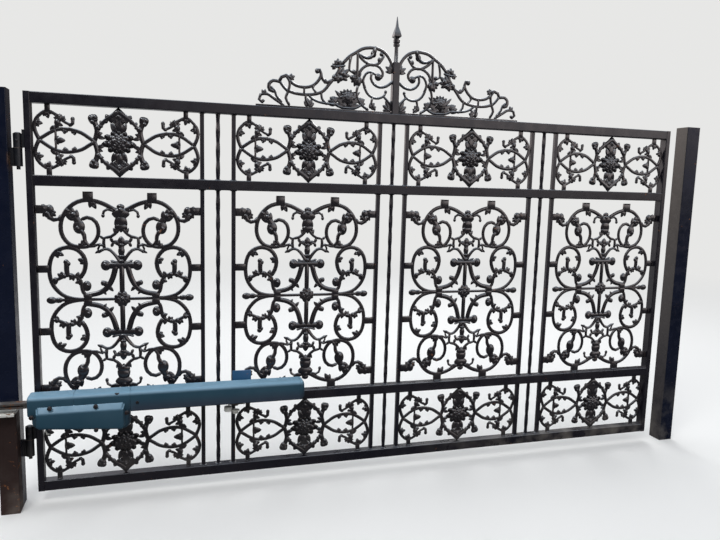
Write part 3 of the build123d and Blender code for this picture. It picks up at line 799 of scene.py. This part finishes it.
def edges(tree, radius):
    """A mask of the sharp edges, as wide as the radius."""
    rounded = tree.nodes.new("ShaderNodeBevel")
    rounded.samples = 6
    rounded.inputs["Radius"].default_value = radius
    surface = tree.nodes.new("ShaderNodeNewGeometry")
    compare = tree.nodes.new("ShaderNodeVectorMath")
    compare.operation = "DOT_PRODUCT"
    tree.links.new(rounded.outputs["Normal"], compare.inputs[0])
    tree.links.new(surface.outputs["Normal"], compare.inputs[1])
    return between(tree, compare.outputs["Value"], 0.98, 0.86)


print("pattern tools ready")

# %% [markdown]
# One recipe makes every paint. Two tones of the paint come first, then worn edges, rust and dust lie on them.
# Rust roughens and dulls a surface, so each layer also changes the roughness, and the grain is a fine bump.

# %% Paint recipe
rust_dark = (0.11, 0.039, 0.018)
rust_bright = (0.25, 0.105, 0.042)
dust_tone = (0.58, 0.53, 0.46)
coat_roughness = 0.16
worn_edge = 0.003
grain_height = 0.0006
finishes = {}


def paint(name, tone, faded, gloss, worn_gloss, rust=0.60, wear=0.5, wear_tone=rust_dark, dust_top=0.2,
          dust=0.5, dust_from=-9.0, metallic=0.0, grain=260, bump=0.12, coat=0.0, shine=0.5):
    """A coated or bare metal finish, kept under its slot's name. More rust means a smaller share of it."""
    material, tree, shader = new_material(name)
    colour = tint(tree, between(tree, noise(tree, 4, 5), 0.35, 0.68), tone, faded)
    worn = between(tree, noise(tree, 45, 5), 0.45, 0.62, 0.0, wear)
    edge = product(tree, edges(tree, worn_edge), worn)
    colour = tint(tree, edge, colour, wear_tone)
    patches = product(tree, noise(tree, 14, 6), noise(tree, 70, 5))
    rust_start = 0.36 * rust + 0.12
    specks = between(tree, patches, rust_start, rust_start + 0.05)
    rusty = tint(tree, between(tree, noise(tree, 120, 3), 0.4, 0.6), rust_dark, rust_bright)
    colour = tint(tree, specks, colour, rusty)
    low = between(tree, position(tree, "Z"), dust_top, 0.02)
    along = between(tree, position(tree, "X"), dust_from, dust_from + 0.8)
    settled = product(tree, low, along, between(tree, noise(tree, 9, 6), 0.42, 0.66, 0.0, dust))
    colour = tint(tree, settled, colour, dust_tone)
    tree.links.new(colour, shader.inputs["Base Color"])
    roughness = between(tree, noise(tree, 22, 6), 0.3, 0.7, gloss, worn_gloss)
    dulled = combine(tree, "ADD", specks, combine(tree, "ADD", settled, edge))
    roughness = combine(tree, "ADD", roughness, product(tree, dulled, 0.4))
    tree.links.new(roughness, shader.inputs["Roughness"])
    relief = tree.nodes.new("ShaderNodeBump")
    relief.inputs["Strength"].default_value = bump
    relief.inputs["Distance"].default_value = grain_height
    height = combine(tree, "ADD", product(tree, noise(tree, grain, 3), 0.5), product(tree, specks, 0.5))
    tree.links.new(height, relief.inputs["Height"])
    tree.links.new(relief.outputs["Normal"], shader.inputs["Normal"])
    shader.inputs["Metallic"].default_value = metallic
    shader.inputs["Specular IOR Level"].default_value = shine
    shader.inputs["Coat Weight"].default_value = coat
    shader.inputs["Coat Roughness"].default_value = coat_roughness
    finishes[name] = material
    return tree, colour, shader


print("paint recipe ready")

# %% [markdown]
# Every finish is kept under the name that the measured pieces use for it. Black paint is never quite black:
# the frame's is bluish, and the castings' is browner. The primer of the short post has mostly gone to rust.

# %% Finishes of the gate, posts and operator
paint("frame_paint", (0.0042, 0.0042, 0.010), (0.013, 0.011, 0.016), 0.22, 0.42, rust=0.84,
      wear_tone=(0.105, 0.063, 0.045), dust_top=0.17, dust=0.5, dust_from=2.0, coat=0.2)
paint("casting_paint", (0.0060, 0.0055, 0.009), (0.018, 0.014, 0.016), 0.20, 0.42, rust=0.80,
      wear_tone=(0.090, 0.054, 0.039), dust_top=0.3, dust=0.1, grain=420, bump=0.3, coat=0.8)
paint("hinge_paint", (0.0075, 0.0090, 0.013), (0.018, 0.017, 0.019), 0.28, 0.55, rust=0.80, dust_top=0.3,
      dust=0.3)
paint("bracket_paint", (0.0090, 0.068, 0.173), (0.018, 0.087, 0.195), 0.35, 0.55, rust=0.78,
      wear_tone=(0.120, 0.075, 0.053), dust_top=0.1, dust=0.1)
paint("rusted_primer", (0.026, 0.014, 0.012), (0.052, 0.030, 0.025), 0.50, 0.80, rust=0.64, wear=0.9,
      wear_tone=(0.190, 0.085, 0.055), dust_top=0.25, dust=0.15, bump=0.5, shine=0.3)
paint("weathered_plate", (0.794, 0.794, 0.742), (0.660, 0.645, 0.585), 0.55, 0.8, rust=0.58, wear=0.8,
      dust_top=0.1, dust=0.1, bump=0.3)
paint("bare_steel", (0.130, 0.120, 0.112), (0.070, 0.063, 0.058), 0.34, 0.6, rust=0.56, wear=0.3,
      dust_top=0.1, dust=0.1, metallic=0.5)
print("plain finishes", len(finishes))

# %% [markdown]
# Two finishes get a tone more. On the post at the latch, the side that faces the light is painted lighter,
# and more so higher up, as painted light, and the hinge post is scorched where its hinge was welded on. The
# operator's faces that look up are painted pale as painted sky light, and the lower side of its tube is
# painted darker as painted shade.

# %% Painted light and scorch marks
tree, colour, shader = paint("post_paint", (0.0037, 0.0067, 0.019), (0.0090, 0.013, 0.032), 0.16, 0.36,
                             rust=0.82, wear_tone=(0.165, 0.090, 0.053), dust_top=0.4, dust=0.3, shine=0.25)
lit_side_tone, scorched = (0.129, 0.114, 0.104), (0.315, 0.165, 0.075)
latch_post_from = 3.4
weld_low, weld_high = 1.54, 1.63
across, level = position(tree, "X"), position(tree, "Z")
at_latch = between(tree, across, latch_post_from, latch_post_from + 0.1)
# Painted light: the latch post's side that faces -X is painted lighter, and more so higher up, as light
# falling on that side.
lit_side = product(tree, leaning(tree, "X", -0.5, -0.9), at_latch, between(tree, level, 0.2, 1.6, 0.4, 1.0))
colour = tint(tree, lit_side, colour, lit_side_tone)
heated = product(tree, between(tree, level, weld_low, weld_low + 0.03),
                 between(tree, level, weld_high, weld_high - 0.03))
beside = product(tree, between(tree, across, 0.030, 0.055), between(tree, across, 0.20, 0.10))
burnt = product(tree, heated, beside, between(tree, noise(tree, 40, 5), 0.30, 0.62))
tree.links.new(tint(tree, burnt, colour, scorched), shader.inputs["Base Color"])

tree, colour, shader = paint("operator_paint", (0.017, 0.066, 0.104), (0.030, 0.082, 0.122), 0.40, 0.58,
                             rust=0.97, wear=0.25, wear_tone=(0.165, 0.285, 0.345), dust_top=0.1, dust=0.1,
                             grain=700, bump=0.08)
painted_sky_light, painted_tube_shade = (0.150, 0.285, 0.390), (0.030, 0.038, 0.060)
tube_from, tube_middle = 0.50, 0.525
# Painted shade: the lower side of the operator's tube, below its middle, is painted darker and greyer.
below = product(tree, between(tree, position(tree, "Z"), tube_middle, tube_middle - 0.045, 0.0, 0.8),
                between(tree, position(tree, "X"), tube_from, tube_from + 0.04))
colour = tint(tree, below, colour, painted_tube_shade)
# Painted light: faces that look upwards are painted pale, as sky light falling on the operator's top.
colour = tint(tree, leaning(tree, "Z", 0.15, 0.75), colour, painted_sky_light)
tree.links.new(colour, shader.inputs["Base Color"])
print("finishes", sorted(finishes))

# %% [markdown]
# The measured pieces that stay in view get their finish now. The record names a finish for each of them.

# %% Coat the measured pieces
for part in frame["record"]["subparts"]:
    measured = frame["nodes"][part["node"]]
    measured.data.materials.clear()
    measured.data.materials.append(finishes[part["material_slot"]])

# %% [markdown]
# ## Setting the castings in the leaf
# One casting of each kind was made. Every bay gets a copy with a mesh of its own, set between the rails.
# Shading by angle makes round forms look round and leaves bevels crisp.

# %% Set the castings
def dress(piece, name, body, slot_name, nodes=(), smooth=40):
    """Name a finished piece, shade and coat it, tie it to its body, and hide the nodes it stands for."""
    piece.name = name
    settle(piece)
    open_all()
    bpy.ops.mesh.normals_make_consistent(inside=False)
    bpy.ops.object.mode_set(mode="OBJECT")
    bpy.ops.object.shade_smooth_by_angle(angle=math.radians(smooth))
    piece.data.materials.clear()
    piece.data.materials.append(finishes[slot_name])
    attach(piece, body)
    if nodes:
        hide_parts(*nodes)
    return piece


def set_casting(master, name, node, x, z, stretch):
    """A copy of a casting at x, z, drawn out sideways by stretch. A stretch of -1 turns it over."""
    piece = copy_of(master)
    piece.scale = (stretch, 1, 1)
    piece.location = (x, 0, z)
    return dress(piece, name, "leaf", "casting_paint", [node])


scroll_half_height = 497 * mm
pattern_width = 722.5 * mm
scroll_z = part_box("lower_mid_rail")[1].z + scroll_half_height
for bay in (1, 2, 3, 4):
    left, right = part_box(f"scroll_panel_{bay}")
    x = (left.x + right.x) / 2
    fitted = (right.x - left.x) / pattern_width
    set_casting(scroll_casting, f"scroll_casting_{bay}", f"scroll_panel_{bay}", x, scroll_z, fitted)
    for row in ("upper", "lower"):
        node = f"{row}_collar_panel_{bay}"
        low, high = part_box(node)
        collar_z = (low.z + high.z) / 2
        set_casting(collar_casting, f"{row}_collar_casting_{bay}", node, x, collar_z, fitted)
post_low, post_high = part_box("crest_post")
crest_x = (post_low.x + post_high.x) / 2
set_casting(crest_casting, "crest_casting_right", "crest_right", crest_x, post_low.z, 1.0)
set_casting(crest_casting, "crest_casting_left", "crest_left", crest_x, post_low.z, -1.0)
for master in (scroll_casting, collar_casting, crest_casting, petal_master, knob_master):
    bpy.data.objects.remove(master)
print("castings set, scrolls at", round(scroll_z, 4), "crest at", round(crest_x, 4))

# %% [markdown]
# ## Twisted bars
# A blacksmith heats a square bar and turns one end. Here a square with softened corners is extruded up a step
# at a time and turned a little at each step, which leaves the same four running spirals.

# %% Twisted bars
twist_side = 16
twist_corner = 1.6
quarter_turn_length = 90
twist_step = 15


def twisted_bar(x, bottom, top):
    """A twisted square bar between two heights, in millimetres, in the middle of the leaf's depth."""
    steps = max(1, round((top - bottom) / twist_step))
    rise = (top - bottom) / steps
    clear_selection()
    bpy.ops.mesh.primitive_plane_add(size=twist_side * mm, location=(x * mm, 0, bottom * mm))
    piece = bpy.context.object
    open_all()
    bpy.ops.mesh.bevel(offset=twist_corner * mm, segments=1, affect="VERTICES")
    bpy.ops.mesh.select_all(action="SELECT")
    turned = math.radians(90 * rise / quarter_turn_length)
    for step in range(steps):
        middle = (x * mm, 0, (bottom + rise * (step + 1)) * mm)
        bpy.ops.mesh.extrude_region_move(TRANSFORM_OT_translate={"value": (0, 0, rise * mm)})
        bpy.ops.transform.rotate(value=turned, orient_axis="Z", center_override=middle)
    bpy.ops.object.mode_set(mode="OBJECT")
    return piece


rails = ["bottom_rail", "lower_mid_rail", "upper_mid_rail", "top_rail"]
rail_boxes = [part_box(rail) for rail in rails]
rows = [(below[1].z / mm, above[0].z / mm) for below, above in zip(rail_boxes, rail_boxes[1:])]
for bar in (1, 2, 3):
    low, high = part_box(f"twisted_bar_{bar}")
    bar_x = (low.x + high.x) / 2 / mm
    whole = joined([twisted_bar(bar_x, bottom, top) for bottom, top in rows], "bar")
    dress(whole, f"smooth_twisted_bar_{bar}", "leaf", "frame_paint", [f"twisted_bar_{bar}"], 25)
print("rows between the rails", [(round(bottom), round(top)) for bottom, top in rows])

# %% [markdown]
# ## Turned parts
# Bolts, washers, pins and the spear's collars are all turned on a lathe, or cut from hexagon bar. One tool
# makes them: a circle with the right number of sides is extruded along its axis and resized at each step.

# %% Turned part
def turned(place, profile, sides=24, towards="up", turn=0):
    """A turned part from (distance, radius) pairs along its axis, in millimetres, with its foot at place."""
    last_height, last_radius = profile[0]
    clear_selection()
    bpy.ops.mesh.primitive_circle_add(vertices=sides, radius=last_radius * mm, fill_type="NGON",
                                      location=(0, 0, last_height * mm))
    piece = bpy.context.object
    settle(piece)
    open_all()
    for height, radius in profile[1:]:
        rise = (height - last_height) * mm
        bpy.ops.mesh.extrude_region_move(TRANSFORM_OT_translate={"value": (0, 0, rise)})
        bpy.ops.transform.resize(value=(radius / last_radius,) * 3, center_override=(0, 0, height * mm))
        last_height, last_radius = height, radius
    bpy.ops.mesh.select_all(action="SELECT")
    bpy.ops.mesh.normals_make_consistent(inside=False)
    bpy.ops.transform.rotate(value=math.radians(turn), orient_axis="Z", center_override=(0, 0, 0))
    bpy.ops.object.mode_set(mode="OBJECT")
    piece.rotation_euler = ({"up": 0, "down": math.pi, "front": math.pi / 2}[towards], 0, 0)
    piece.location = tuple(value * mm for value in place)
    return piece


print("turned part ready")

# %% [markdown]
# The spear is a round rod with two collars and a forged head of square section, drawn out to a long point.

# %% Spear
spear_foot = (crest_x / mm, 0, post_high.z / mm)
square_corner = math.sqrt(2)
rod_profile = [(0, 12), (3, 10.5), (78, 9.5), (80, 14), (82, 16.5), (91, 16.5), (93, 14), (95, 13),
               (97, 15.5), (99, 17), (112, 17), (115, 14.5), (117, 9), (121, 9)]
head_halves = [(117, 8), (121, 13), (127, 19), (130, 19.5), (150, 14.5), (176, 6.5), (222, 1.6), (225, 0.6)]
head_profile = [(height, half * square_corner) for height, half in head_halves]
spear = joined([turned(spear_foot, rod_profile), turned(spear_foot, head_profile, 4, turn=45)], "spear")
dress(spear, "spear", "leaf", "casting_paint", ["spear_finial"], 30)
print("spear from", round(spear_foot[2]), "to", round(spear.dimensions.z / mm + spear_foot[2]))

# %% [markdown]
# ## The operator's housing
# The motor housing and the tube's end cap share one arched section. It starts as a flat plane, its upper
# corners are rounded, and it is drawn out along the gate, pinched in at each seam and rounded at the far end.

# %% Housing and end cap
housing_low, housing_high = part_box("motor_housing")
tube_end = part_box("tube_end_cap")[1].x / mm
housing_y = (housing_low.y + housing_high.y) / 2 / mm
housing_z = (housing_low.z + housing_high.z) / 2 / mm
shell_width = (housing_high.y - housing_low.y) / mm
shell_height = (housing_high.z - housing_low.z) / mm
upper_corner = 22
lower_corner = 4


def shell(stations):
    """The arched section drawn out along X through (x, inset) stations, in millimetres."""
    clear_selection()
    last_x, last_inset = stations[0][0], 0
    middle = (last_x * mm, housing_y * mm, housing_z * mm)
    bpy.ops.mesh.primitive_plane_add(size=1, location=middle, rotation=(math.pi / 2, 0, math.pi / 2))
    piece = bpy.context.object
    piece.scale = (shell_width * mm, shell_height * mm, 1)
    settle(piece)
    reach = 0.49 * shell_height
    for way, radius, segments in ((1, upper_corner, 8), (-1, lower_corner, 2)):
        open_some(piece, lambda corner: way * (corner.co.z / mm - housing_z) > reach)
        bpy.ops.mesh.bevel(offset=radius * mm, segments=segments, affect="VERTICES")
        bpy.ops.object.mode_set(mode="OBJECT")
    open_all()
    for x, inset in stations:
        if x > last_x:
            bpy.ops.mesh.extrude_region_move(TRANSFORM_OT_translate={"value": ((x - last_x) * mm, 0, 0)})
        growth_y = (shell_width - 2 * inset) / (shell_width - 2 * last_inset)
        growth_z = (shell_height - 2 * inset) / (shell_height - 2 * last_inset)
        middle = (x * mm, housing_y * mm, housing_z * mm)
        bpy.ops.transform.resize(value=(1, growth_y, growth_z), center_override=middle)
        last_x, last_inset = x, inset
    bpy.ops.object.mode_set(mode="OBJECT")
    return piece


housing_start = housing_low.x / mm
housing_end = housing_high.x / mm
rear_seam = 285
seam = 2.4
housing_stations = [
    (housing_start, 7), (housing_start + 2, 3), (housing_start + 7, 0),
    (rear_seam - seam, 0), (rear_seam - seam + 0.3, seam),
    (rear_seam + seam - 0.3, seam), (rear_seam + seam, 0),
    (housing_end - seam - 0.3, 0), (housing_end - seam, seam), (housing_end, seam),
]
dress(shell(housing_stations), "housing_shell", "operator", "operator_paint", ["motor_housing"], 30)
cap_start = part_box("tube_end_cap")[0].x / mm
cap_radius = 19
cap_stations = [(cap_start, seam), (cap_start + 1, seam), (cap_start + 1.3, 0)]
for step in range(7):
    swing = math.radians(15 * step)
    cap_stations.append((tube_end - cap_radius * (1 - math.sin(swing)), cap_radius * (1 - math.cos(swing))))
dress(shell(cap_stations), "rounded_end_cap", "operator", "operator_paint", ["tube_end_cap"], 30)
print("housing from", round(housing_start), "to", round(housing_end), "cap ends at", round(tube_end))

# %% [markdown]
# ## The control cover
# The cover is one deep moulded lid. It starts as a block whose edges all get a wide radius. Its front is
# extruded and drawn in, which leaves a sloping shoulder, wide on top. The far end is pulled down, because the
# lid is deeper there, and at last all rims are softened.

# %% Cover
cover_low, cover_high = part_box("control_cover")
screw_stand = 5 * mm
rear_reach, top_reach = 27 * mm, 32 * mm
cover_low += Vector((-rear_reach, screw_stand, 0))
cover_high += Vector((0, 0, top_reach))
shoulder_depth = 26 * mm
front_height, front_length = 0.80, 0.965
end_radius = 36
edge_radius = 4
front_drop, rear_lift = 22, 3
block_low = cover_low + Vector((0, shoulder_depth, 0))
cover_place = (block_low + cover_high) / 2
clear_selection()
bpy.ops.mesh.primitive_cube_add(size=1, location=cover_place)
cover = bpy.context.object
cover.scale = cover_high - block_low
settle(cover)
open_all()
bpy.ops.mesh.bevel(offset=end_radius * mm, segments=7, affect="EDGES")
open_some(cover, lambda face: face.normal.y < -0.9, "FACE")
bpy.ops.mesh.extrude_region_move(TRANSFORM_OT_translate={"value": (0, -shoulder_depth, 0)})
foot = (cover_place.x, cover_low.y, cover_low.z)
bpy.ops.transform.resize(value=(front_length, 1, front_height), center_override=foot)
low_part = cover_low.z + 1.2 * end_radius * mm
for far_end, shift in ((True, -front_drop), (False, rear_lift)):
    open_some(cover, lambda corner: corner.co.z < low_part and (corner.co.x > cover_place.x) == far_end)
    bpy.ops.transform.translate(value=(0, 0, shift * mm))
bpy.ops.object.mode_set(mode="OBJECT")
softened = cover.modifiers.new("soften", "BEVEL")
softened.width = edge_radius * mm
softened.segments = 3
softened.limit_method = "ANGLE"
softened.angle_limit = math.radians(35)
bpy.ops.object.modifier_apply(modifier=softened.name)
print("cover", tuple(round(v / mm) for v in cover.dimensions), len(cover.data.polygons), "faces")

# %% [markdown]
# Six dark screws hold the cover, and one more holds the tube in its housing. Each has a washer and a hollow
# head. A dark plug on top closes the hole for the release key.
# The gland below takes the supply cable, which is left out because it leads away.

# %% Screws and gland
cover_front = cover_low.y / mm
screw_places = [(190, 512), (378, 508), (510, 470), (378, 399), (186, 410), (116, 476)]
tube_screw = (554, 508)
release_plug = (467, -146, 552)
screw_profile = [(-9, 10), (0.0, 10), (0.6, 9.4), (0.8, 7.4), (3.2, 7.2), (3.6, 6.6), (3.6, 3.6), (1.6, 3.4)]
screws = [turned((x, cover_front + 1.0, z), screw_profile, 12, "front") for x, z in screw_places]
screws.append(turned((tube_screw[0], housing_low.y / mm + 1.0, tube_screw[1]), screw_profile, 12, "front"))
screws.append(turned(release_plug, [(-3, 12), (3, 12), (4, 11), (4, 4), (2, 4)], 16))
dress(joined(screws, "screws"), "cover_screws", "operator", "hinge_paint")
dress(cover, "control_cover_shell", "operator", "operator_paint", ["control_cover"], 30)
gland_profile = [(-2, 12), (6, 12), (6.5, 9), (14, 9), (14.5, 8), (16, 7), (16, 5), (10, 5)]
gland = turned((176, -150, cover_low.z / mm), gland_profile, 16, "down")
dress(gland, "cable_gland", "operator", "weathered_plate")
print("screws", len(screws))

# %% [markdown]
# ## Pivot, shuttle and bracket fixings
# The operator turns on a pin beside the hinge post. A nut keeps the tail on that pin. Under the tube the
# shuttle's pin carries a nut below its disc, with a bolt head and a pale lobe of the bracket's arm beside it.
# Of the arm's foot only a thin strip is modelled, flat against the bracket's plate.

# %% Fixings
def hexagon(across_flats):
    """The corner radius of a hexagon, from the distance across its flats."""
    return across_flats / math.sqrt(3)


pivot_x = -45
nut_corner = hexagon(24)
yoke_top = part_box("rear_yoke")[1].z / mm
pivot_nut = [(0.5, 14), (2, 14), (2.2, nut_corner - 1), (3, nut_corner), (10, nut_corner),
             (11, nut_corner - 1), (11, 8.6), (9, 8.4)]
dress(turned((pivot_x, housing_y, yoke_top), pivot_nut, 6), "pivot_nut", "posts", "bare_steel", smooth=20)
nut_low, nut_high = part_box("drive_nut")
shuttle_x = (nut_low.x + nut_high.x) / 2 / mm
disc_bottom = housing_low.z / mm - 10
shuttle_nut = [(0, nut_corner - 1), (1, nut_corner), (9, nut_corner), (10, nut_corner - 1)]
below_disc = turned((shuttle_x, housing_y, disc_bottom), shuttle_nut, 6, "down")
dress(below_disc, "shuttle_nut", "shuttle", "bare_steel", smooth=20)
bracket_low, bracket_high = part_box("gate_bracket")
plate_left, plate_right, plate_top = 996, 1088, 594
plate_thickness = 10
plate = lug(plate_left, bracket_low.z / mm, plate_right, plate_top, depth=plate_thickness)
plate.location = (0, bracket_high.y - plate_thickness / 2 * mm, 0)
dress(plate, "bracket_plate", "leaf", "bracket_paint", ["gate_bracket"])
arm_thickness = 22
arm_round = 30
plate_offset = 12
plate_widening = 1.4
lobe_round = 19
arm_foot = bracket_low.z / mm - 12
arm_reach = bracket_high.y / mm - plate_thickness - housing_y
clear_selection()
bpy.ops.mesh.primitive_circle_add(vertices=32, radius=arm_round * mm, fill_type="NGON")
arm = bpy.context.object
open_all()
bpy.ops.transform.resize(value=(1, 0.001, 1), center_override=(0, 0, 0))
bpy.ops.transform.translate(value=(plate_offset * mm, arm_reach * mm, 0))
bpy.ops.transform.resize(value=(plate_widening, 1, 1), center_override=(plate_offset * mm, arm_reach * mm, 0))
bpy.ops.mesh.select_all(action="SELECT")
bpy.ops.mesh.extrude_region_move(TRANSFORM_OT_translate={"value": (0, 0, arm_thickness * mm)})
bpy.ops.object.mode_set(mode="OBJECT")
arm.location = (shuttle_x * mm, housing_y * mm, arm_foot * mm)
lobe_rim = lobe_round - 1
lobe = [(0, lobe_rim), (1, lobe_round), (arm_thickness - 1, lobe_round), (arm_thickness, lobe_rim)]
side_lobe = turned((shuttle_x - 36, housing_y - 6, arm_foot), lobe, 24)
dress(joined([arm, side_lobe], "arm"), "bracket_arm", "leaf", "weathered_plate")
bolt_head = [(-1, 22), (2.5, 22), (2.7, nut_corner), (3.5, nut_corner + 1), (15, nut_corner + 1),
             (16, nut_corner)]
bolt = turned((shuttle_x, housing_y, arm_foot), bolt_head, 6, "down")
dress(bolt, "bracket_bolt", "leaf", "weathered_plate", smooth=20)
print("pivot nut at", pivot_x, "shuttle at", round(shuttle_x))

# %% [markdown]
# ## Hinge fittings
# A thin washer takes the leaf's weight between the two barrels. A domed cap keeps rain off the pin, and a
# nipple on the front lets grease in.

# %% Hinge fittings
axis_x = 71
lug_rise = 18
cap_profile = [(-1, 15), (2, 14.5), (4, 12), (5.5, 8), (6, 3)]
nipple_profile = [(-1, 5), (1, 5), (1.4, 3), (4, 2.6), (4.6, 3.4), (6.4, 3.2), (7.4, 1.6)]
washer_profile = [(-1, 20), (0.9, 20), (1.2, 19.4)]
fittings = []
post_washers = []
for height in ("lower", "upper"):
    low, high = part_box(f"{height}_hinge_leaf_barrel")
    leaf_foot = low.z / mm
    fittings.append(turned((axis_x, 0, high.z / mm - lug_rise), cap_profile, 20))
    fittings.append(turned((axis_x, -18, leaf_foot + 30), nipple_profile, 10, "front"))
    post_washers.append(turned((axis_x, 0, leaf_foot - 1.5), washer_profile, 24))
dress(joined(fittings, "caps"), "hinge_caps", "leaf", "hinge_paint")
dress(joined(post_washers, "washers"), "hinge_washers", "posts", "bare_steel")
print("hinge fittings", len(fittings) + len(post_washers))

# %% [markdown]
# ## Weld beads
# The gate was put together with an arc welder and then painted. A small bead runs round the end of every bar,
# so that the bars grow out of the rails instead of just touching them.

# %% Weld beads
bead_reach = 4.5
bead_rise = 3.5


def bead(x, z, towards, bar_half):
    """A weld bead round a square bar's end, standing on a rail's face at height z."""
    spread = (bar_half + bead_reach) * square_corner
    shrunk = (bar_half + 0.4) * square_corner
    middle = 0.72 * spread + 0.28 * shrunk
    profile = [(-0.5, spread), (0.3 * bead_rise, middle), (bead_rise, shrunk)]
    return turned((x, 0, z), profile, 8, towards, 22.5)


bar_names = [f"plain_bar_{bar}" for bar in range(1, 7)] + [f"twisted_bar_{bar}" for bar in (1, 2, 3)]
beads = []
for name in bar_names:
    low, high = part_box(name)
    bar_x = (low.x + high.x) / 2 / mm
    bar_half = twist_side / 2 if "twisted" in name else (high.x - low.x) / 2 / mm
    for bottom, top in rows:
        beads.append(bead(bar_x, bottom, "up", bar_half))
        beads.append(bead(bar_x, top, "down", bar_half))
dress(joined(beads, "beads"), "bar_welds", "leaf", "frame_paint", smooth=60)
print("weld beads", len(beads))
